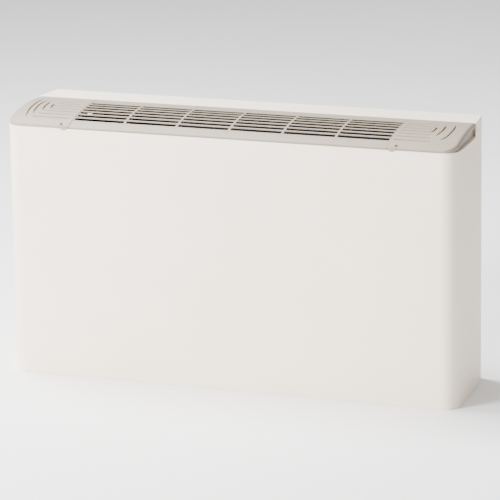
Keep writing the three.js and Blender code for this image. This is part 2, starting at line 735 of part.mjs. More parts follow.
// one serpentine from the lower inlet, up one row and down the other to the outlet
function serpentine() {
  const order = [...TUBES.slice(0, 4), ...TUBES.slice(4).reverse()];
  const pieces = [];
  order.forEach((tube, index) => {
    const last = order.length - 1;
    const from = index === 0 || index === last ? COLLAR_X : -TUBE_X;
    pieces.push(barX(TUBE_RADIUS, tube.row, tube.step, from, TUBE_X, 8));
    if (index < last) {
      pieces.push(returnBend(index % 2 === 0 ? 1 : -1, tube, order[index + 1]));
    }
  });
  return join(...pieces);
}

addPart('coil_fin_block', finBlock(), ALUMINIUM, coil);
addPart('coil_end_plate_left', coilEndPlate(-1), GALVANISED, coil);
addPart('coil_end_plate_right', coilEndPlate(1), GALVANISED, coil);
addPart('coil_tube', serpentine(), COPPER, coil);

// a header: an upright pipe with a socket for the tube and a threaded hexagon facing left
function header(place, bottom, top, portZ) {
  const pipe = barZ(HEADER_RADIUS, HEADER_X, place.y, bottom, top, 20);
  const neck = barX(8, place.y, portZ, HEADER_X - 16, HEADER_X, 16);
  const hexagon = barX(15, place.y, portZ, HEADER_X - 34, HEADER_X - 14, 6);
  const socket = barX(TUBE_RADIUS + GAP, place.y, place.z, COLLAR_X - GAP, HEADER_X + 20, 16);
  const port = barX(9.5, place.y, portZ, HEADER_X - 35, HEADER_X - 18, 24);
  return cut(join(pipe, neck, hexagon), socket, port);
}

const [INLET, OUTLET] = tubeEnds();
addPart('inlet_header', header(INLET, 206, INLET.z + 13, 222), BRASS);
addPart('outlet_header', header(OUTLET, OUTLET.z - 13, VENT_TOP, 312), BRASS);

const VENT_Z = VENT_TOP + GAP;
addPart('air_vent_body', cut(
  barZ(6.5, HEADER_X, OUTLET.y, VENT_Z, VENT_Z + 12, 6),
  barZ(3.6, HEADER_X, OUTLET.y, VENT_Z + 4, VENT_Z + 13),
), BRASS);
addPart('air_vent_screw', cut(
  barZ(3.2, HEADER_X, OUTLET.y, VENT_Z + 4 + GAP, VENT_Z + 15),
  box([HEADER_X - 4, HEADER_X + 4], [OUTLET.y - 0.5, OUTLET.y + 0.5], [VENT_Z + 14, VENT_Z + 16]),
), ZINC_SCREW);

// ---------------------------------------------------------------- condensate

// open tray with walls of one thickness
function tray(x, y, z, wall) {
  const inner = (pair) => [pair[0] + wall, pair[1] - wall];
  return cut(box(x, y, z), box(inner(x), inner(y), [z[0] + wall, z[1] + 1]));
}

addPart('drain_pan', cut(
  tray([-PAN_HALF, PAN_HALF], [CHASSIS_FRONT_Y + GAP, PAN_REAR_Y], PAN_Z, SHEET),
  barX(DRAIN_RADIUS - 2, DRAIN_Y, DRAIN_Z, -PAN_HALF - 1, -PAN_HALF + 3),
), GALVANISED);
addPart('drain_spigot', cut(
  barX(DRAIN_RADIUS, DRAIN_Y, DRAIN_Z, -362, -PAN_HALF - GAP),
  barX(DRAIN_RADIUS - 2, DRAIN_Y, DRAIN_Z, -363, -PAN_HALF),
), BLACK_PLASTIC);
addPart('valve_drip_tray',
  tray([-428, -BAY[1] - GAP], VALVE_TRAY_Y, VALVE_TRAY_Z, 2), BLACK_PLASTIC);

// ---------------------------------------------------------------- filter

function filterFrame() {
  const frame = box([-FILTER_HALF, FILTER_HALF], [FILTER_FRONT, FILTER_REAR], FILTER_Z);
  const bays = 3;
  const bayWidth = 2 * (FILTER_HALF - FILTER_RIM) / bays;
  const holes = [];
  for (let bay = 0; bay < bays; bay += 1) {
    const from = -FILTER_HALF + FILTER_RIM + bay * bayWidth + (bay > 0 ? 4 : 0);
    const to = -FILTER_HALF + FILTER_RIM + (bay + 1) * bayWidth - (bay < bays - 1 ? 4 : 0);
    const ys = [FILTER_FRONT + FILTER_RIM, FILTER_REAR - FILTER_RIM];
    holes.push(box([from, to], ys, [FILTER_Z[0] - 1, FILTER_Z[1] + 1]));
  }
  const seat = box([-FILTER_HALF + 5, FILTER_HALF - 5], [FILTER_FRONT + 5, FILTER_REAR - 5],
    [FILTER_Z[1] - 3, FILTER_Z[1] + 1]);
  return cut(frame, ...holes, seat);
}

addPart('filter_frame', filterFrame(), BLACK_PLASTIC);
addPart('filter_mesh', box([-FILTER_HALF + 6, FILTER_HALF - 6], [FILTER_FRONT + 6, FILTER_REAR - 6],
  [FILTER_Z[1] - 3 + GAP, FILTER_Z[1] - 0.5]), FILTER_CLOTH);

function filterRail(y, lipY) {
  const upright = box([-330, 330], y, [FILTER_Z[0], RAIL_TOP]);
  const shelf = box([-330, 330], lipY, [RAIL_TOP - SHEET, RAIL_TOP]);
  return join(upright, shelf);
}

const REAR_RAIL_Y = 104;
const FRONT_RAIL_Y = CHASSIS_FRONT_Y + 1;
addPart('filter_rail_rear',
  filterRail([REAR_RAIL_Y, REAR_RAIL_Y + SHEET], [93, 105]), GALVANISED);
addPart('filter_rail_front',
  filterRail([FRONT_RAIL_Y, FRONT_RAIL_Y + SHEET], [-97.5, -87]), GALVANISED);

// ---------------------------------------------------------------- controls

addPart('control_box', cut(
  tray(BOX_X, BOX_Y, BOX_Z, 2),
  barZ(8.5, GLAND_X, GLAND_Y, BOX_Z[0] - 1, BOX_Z[0] + 3),
), WHITE_PLASTIC);
addPart('control_panel', cut(
  box(BOX_X, BOX_Y, PANEL_Z),
  barZ(SPINDLE_HOLE, KNOB_X, SPEED_Y, PANEL_Z[0] - 1, PANEL_Z[1] + 1),
  barZ(SPINDLE_HOLE, KNOB_X, THERMOSTAT_Y, PANEL_Z[0] - 1, PANEL_Z[1] + 1),
), BLACK_PLASTIC);

// knob with a grip bar, a skirt and a spindle through the panel
function knob(y) {
  const base = PANEL_Z[1] + GAP;
  const skirt = barZ(15, KNOB_X, y, base, base + 3, 32);
  const grip = box([KNOB_X - 3.5, KNOB_X + 3.5], [y - 13, y + 13], [base + 2, base + 11]);
  const hub = barZ(8, KNOB_X, y, base + 2, base + 9, 20);
  const spindle = barZ(3.5, KNOB_X, y, BOX_Z[1] - 12, base + 1, 12);
  return join(skirt, grip, hub, spindle);
}

addPart('speed_knob', knob(SPEED_Y), WHITE_PLASTIC);
addPart('thermostat_knob', knob(THERMOSTAT_Y), WHITE_PLASTIC);

// one rail of clamps: raised towers with screw wells
function terminalBlock() {
  const ways = 6;
  const pitch = 11;
  const floor = BOX_Z[0] + 2 + GAP;
  const start = BOX_Y[0] + 8;
  const body = box([352, 378], [start, start + ways * pitch], [floor, floor + 18]);
  const wells = [];
  for (let way = 0; way < ways; way += 1) {
    const y = start + (way + 0.5) * pitch;
    wells.push(barZ(3, 359, y, floor + 10, floor + 19, 10), barZ(3, 371, y, floor + 10, floor + 19, 10));
  }
  return cut(body, ...wells);
}

addPart('terminal_block', terminalBlock(), WHITE_PLASTIC);
addPart('cable_gland', cut(
  join(
    barZ(11, GLAND_X, GLAND_Y, BOX_Z[0] - GAP - 10, BOX_Z[0] - GAP, 6),
    barZ(8, GLAND_X, GLAND_Y, BOX_Z[0] - 18, BOX_Z[0] + 8, 20),
  ),
  barZ(5, GLAND_X, GLAND_Y, BOX_Z[0] - 19, BOX_Z[0] + 9),
), BLACK_PLASTIC);

export default heater;
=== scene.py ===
import json
import math

import bmesh
import bpy
from mathutils import Matrix, Vector


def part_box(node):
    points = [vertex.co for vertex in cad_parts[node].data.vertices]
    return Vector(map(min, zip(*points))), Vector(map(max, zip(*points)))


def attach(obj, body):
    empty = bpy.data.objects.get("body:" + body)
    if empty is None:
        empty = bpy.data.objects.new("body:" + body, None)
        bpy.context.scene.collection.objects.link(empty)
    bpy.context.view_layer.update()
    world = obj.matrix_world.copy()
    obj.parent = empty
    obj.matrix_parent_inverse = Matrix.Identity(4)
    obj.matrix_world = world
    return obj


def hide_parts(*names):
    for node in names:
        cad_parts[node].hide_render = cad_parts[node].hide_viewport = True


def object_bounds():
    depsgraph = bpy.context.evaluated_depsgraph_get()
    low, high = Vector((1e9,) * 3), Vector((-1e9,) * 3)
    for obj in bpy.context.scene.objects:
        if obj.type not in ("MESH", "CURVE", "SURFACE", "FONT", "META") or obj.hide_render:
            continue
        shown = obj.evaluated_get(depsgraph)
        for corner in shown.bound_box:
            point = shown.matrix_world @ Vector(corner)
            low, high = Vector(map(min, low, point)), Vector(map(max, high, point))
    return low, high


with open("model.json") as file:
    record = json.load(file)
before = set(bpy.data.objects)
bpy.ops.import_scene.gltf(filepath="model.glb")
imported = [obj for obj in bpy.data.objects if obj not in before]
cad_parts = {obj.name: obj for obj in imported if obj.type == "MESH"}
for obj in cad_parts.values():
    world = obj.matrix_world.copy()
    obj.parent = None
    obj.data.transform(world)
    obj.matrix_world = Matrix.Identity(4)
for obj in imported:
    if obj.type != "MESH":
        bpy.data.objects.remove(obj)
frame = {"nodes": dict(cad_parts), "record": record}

CAD_LOW, CAD_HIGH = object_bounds()
MM = 0.001
QUARTER = math.pi / 2

# --- camera

LENS_MM = 235.1
CAMERA_AZIMUTH = math.radians(20.5)
CAMERA_ELEVATION = math.radians(14.5)
CAMERA_ROLL = math.radians(-0.9)
CAMERA_DISTANCE = 6.309
CAMERA_RIGHT = -0.0329
CAMERA_UP = -0.0415
CAMERA_PIVOT = Vector((0, CAD_HIGH.y, 0.2625))


def link(name, data):
    piece = bpy.data.objects.new(name, data)
    bpy.context.collection.objects.link(piece)
    return piece


def place_camera():
    a, e, r = CAMERA_AZIMUTH, CAMERA_ELEVATION, CAMERA_ROLL
    back = Vector((math.sin(a) * math.cos(e), -math.cos(a) * math.cos(e), math.sin(e)))
    right = Vector((math.cos(a), math.sin(a), 0))
    up = back.cross(right)
    rolled_right = right * math.cos(r) + up * math.sin(r)
    rolled_up = up * math.cos(r) - right * math.sin(r)
    data = bpy.data.cameras.new("camera")
    data.lens = LENS_MM
    data.sensor_width = 36
    data.clip_end = 100
    camera = link("camera", data)
    matrix = Matrix((rolled_right, rolled_up, back)).transposed().to_4x4()
    shift = right * CAMERA_RIGHT + up * CAMERA_UP
    matrix.translation = CAMERA_PIVOT + shift + back * CAMERA_DISTANCE
    camera.matrix_world = matrix
    bpy.context.scene.camera = camera


place_camera()

# --- materials


def linear(*rgb):
    def channel(value):
        value /= 255
        return value / 12.92 if value <= 0.04045 else ((value + 0.055) / 1.055) ** 2.4

    return (*map(channel, rgb), 1)


FINISH_PREFIX = "surface_"


class Nodes:
    """A material's node tree with short calls for what every finish needs."""

    def __init__(self, name):
        self.material = bpy.data.materials.new(FINISH_PREFIX + name)
        self.material.use_nodes = True
        self.tree = self.material.node_tree
        self.shader = self.tree.nodes["Principled BSDF"]
        self.place = self.add("TexCoord").outputs["Object"]

    def link(self, source, target):
        self.tree.links.new(source, target)

    def add(self, kind, **inputs):
        node = self.tree.nodes.new("ShaderNode" + kind)
        for key, value in inputs.items():
            node.inputs[key.replace("_", " ")].default_value = value
        return node

    def feed(self, sockets, values):
        """Sets each socket to its value, or links it to another node's output."""
        for socket, value in zip(sockets, values):
            if isinstance(value, bpy.types.NodeSocket):
                self.link(value, socket)
            else:
                socket.default_value = value

    def texture(self, kind, output, place=None, **inputs):
        """A node that reads the object's own coordinates, or the place it is given."""
        node = self.add(kind, **inputs)
        self.link(place or self.place, node.inputs["Vector"])
        return node.outputs[output]

    def noise(self, scale, detail=3, roughness=0.5, place=None):
        inputs = {"Scale": scale, "Detail": detail, "Roughness": roughness}
        return self.texture("TexNoise", "Fac", place, **inputs)

    def cells(self, scale):
        return self.texture("TexVoronoi", "Distance", Scale=scale)

    def waves(self, scale, direction):
        node = self.add("TexWave", Scale=scale)
        node.bands_direction = direction
        self.link(self.place, node.inputs["Vector"])
        return node.outputs["Fac"]

    def remap(self, source, low, high, to_low, to_high):
        node = self.add("MapRange")
        self.feed(node.inputs, (source, low, high, to_low, to_high))
        return node.outputs[0]

    def patches(self, noise, low, high, to_low=0, to_high=1):
        """Noise of a scale, detail and roughness, spread from one range onto another."""
        return self.remap(self.noise(*noise), low, high, to_low, to_high)

    def maths(self, operation, first, second):
        node = self.add("Math")
        node.operation = operation
        self.feed(node.inputs, (first, second))
        return node.outputs[0]

    def blend(self, factor, first, second):
        node = self.add("Mix")
        node.data_type = "RGBA"
        sockets = (node.inputs[i] for i in (0, 6, 7))
        self.feed(sockets, (factor, first, second))
        return node.outputs[2]

    def bumps(self, *layers):
        """Each layer is a height, its strength and its depth in metres."""
        normal = None
        for height, strength, distance in layers:
            node = self.add("Bump", Strength=strength, Distance=distance)
            self.link(height, node.inputs["Height"])
            if normal:
                self.link(normal, node.inputs["Normal"])
            normal = node.outputs["Normal"]
        self.link(normal, self.shader.inputs["Normal"])

    def finish(self, colour, roughness, metallic=0.0, specular=0.5):
        self.link(colour, self.shader.inputs["Base Color"])
        self.link(roughness, self.shader.inputs["Roughness"])
        self.shader.inputs["Metallic"].default_value = metallic
        self.shader.inputs["Specular IOR Level"].default_value = specular
        return self.material


def shades(rgb, spread):
    """A darker and a lighter shade round one colour."""
    base = linear(*rgb)
    return tuple(
        tuple(min(1, part * (1 + sign * spread)) for part in base[:3]) + (1,) for sign in (-1, 1)
    )


def powder_coat(name, rgb):
    nodes = Nodes(name)
    dark, light = shades(rgb, 0.018)
    cloud = nodes.patches((7, 3), 0.35, 0.65)
    colour = nodes.blend(cloud, dark, light)
    # painted highlight: convex edges, found by pointiness, are lightened towards near-white in
    # noisy patches
    pointed = nodes.add("NewGeometry").outputs["Pointiness"]
    edge = nodes.remap(pointed, 0.52, 0.60, 0, 0.35)
    painted_edge_highlight = nodes.maths("MULTIPLY", edge, nodes.noise(160, 4, 0.6))
    colour = nodes.blend(painted_edge_highlight, colour, linear(250, 247, 240))
    roughness = nodes.patches((60, 4), 0.3, 0.7, 0.42, 0.52)
    nodes.bumps((nodes.noise(420, 2), 0.12, 0.0004), (nodes.noise(1700, 2), 0.06, 0.0002))
    return nodes.finish(colour, roughness)


def moulded(name, rgb, gloss=0.5, grain=0.12):
    nodes = Nodes(name)
    dark, light = shades(rgb, 0.03)
    flow = nodes.patches((14, 4), 0.35, 0.65)
    colour = nodes.blend(flow, dark, light)
    speck = nodes.patches((2600, 1), 0.62, 0.75, 0, 0.25)
    colour = nodes.blend(speck, colour, tuple(part * 0.8 for part in linear(*rgb)[:3]) + (1,))
    roughness = nodes.patches((90, 3), 0.3, 0.7, gloss - 0.05, gloss + 0.07)
    nodes.bumps((nodes.noise(260, 2), 0.05, 0.0004), (nodes.cells(1500), grain, 0.00015))
    return nodes.finish(colour, roughness)


def galvanised(name):
    nodes = Nodes(name)
    spangle = nodes.add("TexVoronoi", Scale=90)
    wobble = nodes.maths("MULTIPLY", nodes.noise(40, 3), 0.01)
    warped = nodes.add("VectorMath")
    warped.operation = "MULTIPLY_ADD"
    nodes.feed(warped.inputs, (nodes.place, (1, 1, 1), wobble))
    nodes.link(warped.outputs[0], spangle.inputs["Vector"])
    tone = nodes.add("SeparateColor")
    nodes.link(spangle.outputs["Color"], tone.inputs[0])
    crystal = nodes.remap(tone.outputs[0], 0, 1, 0.15, 0.85)
    colour = nodes.blend(crystal, linear(150, 156, 160), linear(196, 200, 203))
    stain = nodes.patches((9, 5, 0.6), 0.55, 0.75, 0, 0.35)
    colour = nodes.blend(stain, colour, linear(172, 172, 168))
    roughness = nodes.remap(tone.outputs[1], 0, 1, 0.3, 0.5)
    nodes.bumps((nodes.noise(700, 2), 0.08, 0.0002))
    return nodes.finish(colour, roughness, metallic=0.85)


def metal(name, rgb, rough, stretch=(1, 1, 1), tarnish=(90, 70, 50), amount=0.3):
    nodes = Nodes(name)
    dark, light = shades(rgb, 0.08)
    drawn = nodes.texture("Mapping", "Vector", Scale=stretch)
    streak = nodes.noise(220, 4, 0.6, drawn)
    colour = nodes.blend(nodes.remap(streak, 0.35, 0.65, 0, 1), dark, light)
    dull = nodes.patches((45, 5, 0.65), 0.52, 0.72, 0, amount)
    colour = nodes.blend(dull, colour, linear(*tarnish))
    roughness = nodes.remap(streak, 0.3, 0.7, rough - 0.06, rough + 0.1)
    nodes.bumps((streak, 0.1, 0.0002))
    return nodes.finish(colour, roughness, metallic=1.0)


def woven(name, rgb):
    nodes = Nodes(name)
    dark, light = shades(rgb, 0.5)
    weave = nodes.maths("MAXIMUM", nodes.waves(330, "X"), nodes.waves(330, "Y"))
    colour = nodes.blend(weave, dark, light)
    dust = nodes.patches((20, 4), 0.5, 0.7, 0, 0.3)
    colour = nodes.blend(dust, colour, linear(120, 116, 108))
    roughness = nodes.patches((50, 3), 0.3, 0.7, 0.85, 0.95)
    nodes.bumps((weave, 0.9, 0.0006))
    return nodes.finish(colour, roughness, specular=0.2)


def foam(name, rgb):
    nodes = Nodes(name)
    dark, light = shades(rgb, 0.25)
    pores = nodes.cells(420)
    colour = nodes.blend(nodes.remap(pores, 0.1, 0.6, 0, 1), dark, light)
    roughness = nodes.patches((80, 3), 0.3, 0.7, 0.9, 0.98)
    nodes.bumps((pores, 0.7, 0.001))
    return nodes.finish(colour, roughness, specular=0.2)


CREAM = powder_coat("cream_steel", (240, 226, 208))
GREIGE = moulded("greige_plastic", (148, 136, 121), gloss=0.48)
ZINC = galvanised("galvanised")
FIN_FOIL = metal("aluminium", (200, 204, 206), 0.32, (1, 1, 8), (120, 122, 120), 0.25)
COPPER = metal("copper", (190, 110, 72), 0.28, (0.2, 6, 6), (96, 56, 38), 0.45)
BRASS = metal("brass", (190, 158, 84), 0.28, (1, 1, 1), (120, 92, 48), 0.4)
BLACK = moulded("black_plastic", (40, 40, 42), gloss=0.45, grain=0.2)
WHITE = moulded("white_plastic", (226, 224, 218), gloss=0.4, grain=0.08)
SCREW = metal("zinc_screw", (170, 174, 178), 0.3, (1, 1, 1), (110, 106, 92), 0.3)
MOTOR = powder_coat("motor_paint", (62, 70, 80))
MARKING = moulded("dial_marking", (232, 230, 224), gloss=0.5, grain=0.05)
# carried-over CAD nodes find these two by their slots' names
woven("filter_cloth", (62, 64, 67))
foam("grey_foam", (44, 45, 46))

# --- mesh helpers


def build(name, vertices, faces):
    mesh = bpy.data.meshes.new(name)
    mesh.from_pydata([tuple(v) for v in vertices], [], faces)
    mesh.validate()
    worker = bmesh.new()
    worker.from_mesh(mesh)
    bmesh.ops.recalc_face_normals(worker, faces=worker.faces)
    worker.to_mesh(mesh)
    worker.free()
    return link(name, mesh)


# where a flat shape's two coordinates and its run go, by the axis it runs along
PLACES = {
    "x": lambda u, v, w: (w, u, v),
    "y": lambda u, v, w: (u, w, v),
    "z": lambda u, v, w: (u, v, w),
}


def prism(name, outline, axis, low, high):
    """A closed flat outline run along an axis between two heights."""
    count = len(outline)
    put = PLACES[axis]
    vertices = [put(u, v, w) for w in (low, high) for u, v in outline]
    faces = [tuple(range(count)), tuple(range(2 * count - 1, count - 1, -1))]
    for i in range(count):
        j = (i + 1) % count
        faces.append((i, j, count + j, count + i))
    return build(name, vertices, faces)


def loft(name, loops):
    """A closed solid through loops of points that match one to one."""
    count = len(loops[0])
    vertices = [point for loop in loops for point in loop]
    faces = [tuple(range(count)), tuple(range(len(vertices) - 1, len(vertices) - count - 1, -1))]
    for start in range(0, len(vertices) - count, count):
        for i in range(count):
            j = (i + 1) % count
            faces.append((start + i, start + j, start + count + j, start + count + i))
    return build(name, vertices, faces)


def block(name, low, high):
    outline = [(low[0], low[1]), (high[0], low[1]), (high[0], high[1]), (low[0], high[1])]
    return prism(name, outline, "z", low[2], high[2])


def arc(u, v, radius, start, end, steps):
    """Points on a circle's arc, in radians, both ends included."""
    angles = [start + (end - start) * i / steps for i in range(steps + 1)]
    return [(u + radius * math.cos(t), v + radius * math.sin(t)) for t in angles]


def ring(u, v, radius, steps=32):
    return arc(u, v, radius, 0, math.tau, steps)[:-1]


def rod(name, axis, centre, radius, low, high, steps=32):
    return prism(name, ring(*centre, radius, steps), axis, low, high)


def slot_outline(u_low, u_high, v, half, steps=8):
    """A straight slot with round ends along the first coordinate."""
    right = arc(u_high - half, v, half, -QUARTER, QUARTER, steps)
    left = arc(u_low + half, v, half, QUARTER, 3 * QUARTER, steps)
    return right + left


def merge(pieces):
    """Joins separate objects' meshes into the first of them."""
    first = pieces[0]
    worker = bmesh.new()
    for piece in pieces:
        piece.data.transform(piece.matrix_world)
        worker.from_mesh(piece.data)
    worker.to_mesh(first.data)
    worker.free()
    for piece in pieces[1:]:
        bpy.data.objects.remove(piece)
    return first


def bake(piece):
    graph = bpy.context.evaluated_depsgraph_get()
    mesh = bpy.data.meshes.new_from_object(piece.evaluated_get(graph))
    piece.modifiers.clear()
    piece.data = mesh


def boolean(piece, tools, operation):
    for tool in tools:
        modifier = piece.modifiers.new("boolean", "BOOLEAN")
        modifier.operation = operation
        modifier.solver = "EXACT"
        modifier.object = tool
    bake(piece)
    for tool in tools:
        bpy.data.objects.remove(tool)
    return piece


def cut(piece, *tools):
    return boolean(piece, tools, "DIFFERENCE")


def join(piece, *tools):
    return boolean(piece, tools, "UNION")


def move(piece, *steps):
    for step in steps:
        piece.data.transform(step)


def bevel(piece, width, segments, angle):
    modifier = piece.modifiers.new("edges", "BEVEL")
    modifier.width = width
    modifier.segments = segments
    modifier.limit_method = "ANGLE"
    modifier.angle_limit = math.radians(angle)
    return modifier


def soften(piece, width, segments=2, angle=35):
    """Smooth shading with rounded edges."""
    piece.data.shade_smooth()
    modifier = bevel(piece, width, segments, angle)
    modifier.harden_normals = True
    modifier.use_clamp_overlap = True


def place(piece, material, body, node=None, slot=None):
    """Gives a piece its finish and the body it rides on, and hides the CAD node it stands for."""
    piece.data.materials.clear()
    piece.data.materials.append(material)
    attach(piece, body)
    if node:
        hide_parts(node)
    slot or material.name.removeprefix(FINISH_PREFIX)


def settle(piece, width, material, node, body="cabinet"):
    """Softens a piece's edges and places it."""
    soften(piece, width)
    place(piece, material, body, node)


def middle_of(node):
    """The centre of a CAD node's box."""
    return [(low + high) / 2 for low, high in zip(*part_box(node))]


# --- the frame's sizes

CASING_LOW, CASING_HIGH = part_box("casing_shell")
DECK_LOW, DECK_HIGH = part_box("rear_deck")
FLAP_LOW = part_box("right_flap")[0]
MODULE_LOW, MODULE_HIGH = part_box("grille_module_1")
MODULE_COUNT = 6

HALF_WIDTH = CASING_HIGH.x
FRONT_Y = CASING_LOW.y
HEIGHT = DECK_HIGH.z
SHEET = 1.5 * MM
GAP = 0.3 * MM
HEM = 14 * MM
CORNER_RADIUS = 29.4 * MM
BOW_RADIUS = 1180 * MM
CORNER_X = HALF_WIDTH - CORNER_RADIUS
CORNER_Y = FRONT_Y + CORNER_RADIUS
BOW_X = HALF_WIDTH - BOW_RADIUS

PLASTIC_FRONT_Y = MODULE_LOW.y
PLASTIC_REAR_Y = MODULE_HIGH.y
PLASTIC_BOTTOM = MODULE_LOW.z
CASING_TOP = PLASTIC_BOTTOM - GAP
PLASTIC_WALL = 2.2 * MM
TAB_X = 325 * MM
TAB_RADIUS = 7.5 * MM
TAB_Z = CASING_TOP + 4.5 * MM
TAB_TOP = CASING_TOP + 2.5 * MM
TAB_DEPTH = 2.2 * MM
# the shadow groove along the front lip: how deep and how high
LIP_GROOVE = (1.7 * MM, 2.2 * MM)
CROWN_Y = 8 * MM
CROWN_RADIUS = 330 * MM
NOSE_RADIUS = 3 * MM

# --- casing


CORNER_STEPS = 19


def outline(inset, rear, start=None):
    """Plan points from the left rear round the front to the right rear, drawn in by inset."""
    bow = BOW_RADIUS - inset
    corner = arc(CORNER_X, CORNER_Y, CORNER_RADIUS - inset, -QUARTER, 0, CORNER_STEPS + 1)
    low = math.asin(((CORNER_Y if start is None else start) - CORNER_Y) / bow)
    high = math.asin((rear - CORNER_Y) / bow)
    side = arc(BOW_X, CORNER_Y, bow, low, high, 16)
    right = side if start is not None else corner + side[1:]
    return [(-x, y) for x, y in reversed(right)] + right


def wrapped_strip(name, near, far, low, high, rear):
    """A strip that follows the casing's plan between two insets and two heights."""
    return prism(name, outline(near, rear) + outline(far, rear)[::-1], "z", low, high)


CUT_CORNER = 9 * MM
REAR_FLANGE_X = (412 * MM, 431 * MM)
DECK_LIP_X = 434 * MM
DECK_LIP_DROP = 7 * MM
DECK_FLANGE_X = 430 * MM


def above_casing():
    """What is cut from the casing for the plastic top: level, with a round lower rear corner."""
    rear, radius = DECK_LOW.y, CUT_CORNER
    shape = arc(rear - radius, CASING_TOP + radius, radius, -QUARTER, 0, 10)
    shape += [(rear, HEIGHT), (-0.2, HEIGHT), (-0.2, CASING_TOP)]
    return prism("above", shape, "x", -0.5, 0.5)


def make_casing():
    rear, top = CASING_HIGH.y, CASING_HIGH.z
    shell = wrapped_strip("casing", 0, SHEET, 0, top, rear)
    cut(shell, above_casing())
    mid = SHEET / 2
    hems = [
        wrapped_strip("lower_hem", mid, HEM, 0, SHEET, rear),
        wrapped_strip("upper_hem", mid, HEM, CASING_TOP - SHEET, CASING_TOP, DECK_LOW.y),
    ]
    for side in (-1, 1):
        near, far = sorted(side * x for x in REAR_FLANGE_X)
        hems.append(block("flange", (near, rear - SHEET, SHEET), (far, rear, top)))
    join(shell, *hems)
    holes = []
    for side in ("left", "right"):
        tab = (math.copysign(TAB_X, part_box(side + "_flap")[0].x), TAB_Z)
        holes.append(rod("notch", "y", tab, TAB_RADIUS + GAP, FRONT_Y - MM, FRONT_Y + 5 * MM, 40))
        lock = middle_of(side + "_lock_screw")[:2]
        holes.append(rod("way", "z", lock, 5 * MM, CASING_TOP - 3 * MM, CASING_TOP + MM))
        for level in ("lower", "upper"):
            x, _, z = middle_of(f"casing_screw_{side}_{level}")
            holes.append(rod("hole", "y", (x, z), 3 * MM, rear - 2 * SHEET, rear + MM, 24))
    cut(shell, *holes)
    settle(shell, 0.6 * MM, CREAM, "casing_shell")


def make_deck():
    front, rear, top = DECK_LOW.y, DECK_HIGH.y, HEIGHT - MM
    deck = prism("deck", outline(0, rear, front), "z", HEIGHT - SHEET, HEIGHT)
    x = DECK_LIP_X
    lip = block("lip", (-x, front, HEIGHT - DECK_LIP_DROP), (x, front + SHEET, top))
    x = DECK_FLANGE_X
    flange = block("flange", (-x, rear - SHEET, DECK_LOW.z), (x, rear, top))
    join(deck, lip, flange)
    settle(deck, 0.7 * MM, CREAM, "rear_deck")


make_casing()
make_deck()

# --- plastic top


def top_height(y):
    ahead = max(CROWN_Y - y, 0)
    return HEIGHT - CROWN_RADIUS + math.sqrt(CROWN_RADIUS**2 - ahead**2)


def top_profile(drop, inset, bottom, steps=36):
    """Side outline (y, z) of the filled plastic top, lowered by drop and drawn in by inset."""
    front = PLASTIC_FRONT_Y + inset
    rear = PLASTIC_REAR_Y - inset
    nose_y = front + NOSE_RADIUS
    nose_z = top_height(nose_y) - drop
    points = [(rear, bottom), (rear, HEIGHT - drop)]
    for i in range(steps + 1):
        y = CROWN_Y + (nose_y - CROWN_Y) * i / steps
        points.append((y, top_height(y) - drop))
    lean = math.atan2(CROWN_Y - nose_y, CROWN_RADIUS)
    centre = (nose_y, nose_z - NOSE_RADIUS)
    points += arc(*centre, NOSE_RADIUS, QUARTER + lean, math.pi, 6)[1:]
    if not drop:
        points += [(front, bottom + LIP_GROOVE[1]), (front + LIP_GROOVE[0], bottom + LIP_GROOVE[1])]
        front += LIP_GROOVE[0]
    points.append((front, bottom))
    return points


def rounded(u_low, u_high, v_low, v_high, radius, steps=4):
    points = []
    corners = ((u_high, v_high, 0), (u_low, v_high, 1), (u_low, v_low, 2), (u_high, v_low, 3))
    for u, v, turn in corners:
        u += radius if u == u_low else -radius
        v += radius if v == v_low else -radius
        points += arc(u, v, radius, turn * QUARTER, (turn + 1) * QUARTER, steps)
    return points


SLOT_COUNT = 7
SLOT_PITCH = 13.8 * MM
SLOT_HALF = 5.3 * MM
SLOT_SPREAD = 5 * MM
FIRST_SLOT_Y = -81.2 * MM
RIB_HALF = 2 * MM
RIB_DEPTH = 9 * MM
REAR_SKIRT_BOTTOM = 505 * MM


def slot_cutter(x_low, x_high, y):
    """A slot that opens out downwards, so that each bar is a wedge with a thin lower edge."""
    surface = top_height(y)
    levels = ((surface + 4 * MM, 0), (surface - 0.3 * MM, 0), (surface - 4 * MM, SLOT_SPREAD))
    loops = []
    for z, spread in levels:
        plan = rounded(x_low, x_high, y - SLOT_HALF - spread / 4, y + SLOT_HALF + spread, 1.4 * MM)
        loops.append([(u, v, z) for u, v in plan])
    return loft("slot", loops)


def make_module_mesh():
    """One grille module: a skin with seven slots and a stiffening rib under each end."""
    low, high = MODULE_LOW.x, MODULE_HIGH.x
    skin = prism("module", top_profile(0, 0, PLASTIC_BOTTOM), "x", low, high)
    hollow = top_profile(PLASTIC_WALL, PLASTIC_WALL, PLASTIC_BOTTOM - MM)
    cut(skin, prism("hollow", hollow, "x", low - MM, high + MM))
    slots = []
    for i in range(SLOT_COUNT):
        y = FIRST_SLOT_Y + i * SLOT_PITCH
        slots.append(slot_cutter(low + RIB_HALF, high - RIB_HALF, y))
    cut(skin, *slots)
    rear_low = (low - MM, PLASTIC_REAR_Y - PLASTIC_WALL - MM, PLASTIC_BOTTOM - MM)
    rear_high = (high + MM, PLASTIC_REAR_Y + MM, REAR_SKIRT_BOTTOM)
    cut(skin, block("under_rear", rear_low, rear_high))
    band_low = FIRST_SLOT_Y - SLOT_PITCH / 2
    band_high = FIRST_SLOT_Y + (SLOT_COUNT - 0.5) * SLOT_PITCH
    steps = 12
    spine = [band_low + (band_high - band_low) * i / steps for i in range(steps + 1)]
    rib = [(y, top_height(y) - MM) for y in spine]
    rib += [(y, top_height(y) - RIB_DEPTH) for y in reversed(spine)]
    width = 1.6 * MM
    for edge in (low, high - width):
        join(skin, prism("rib", rib, "x", edge, edge + width))
    return skin


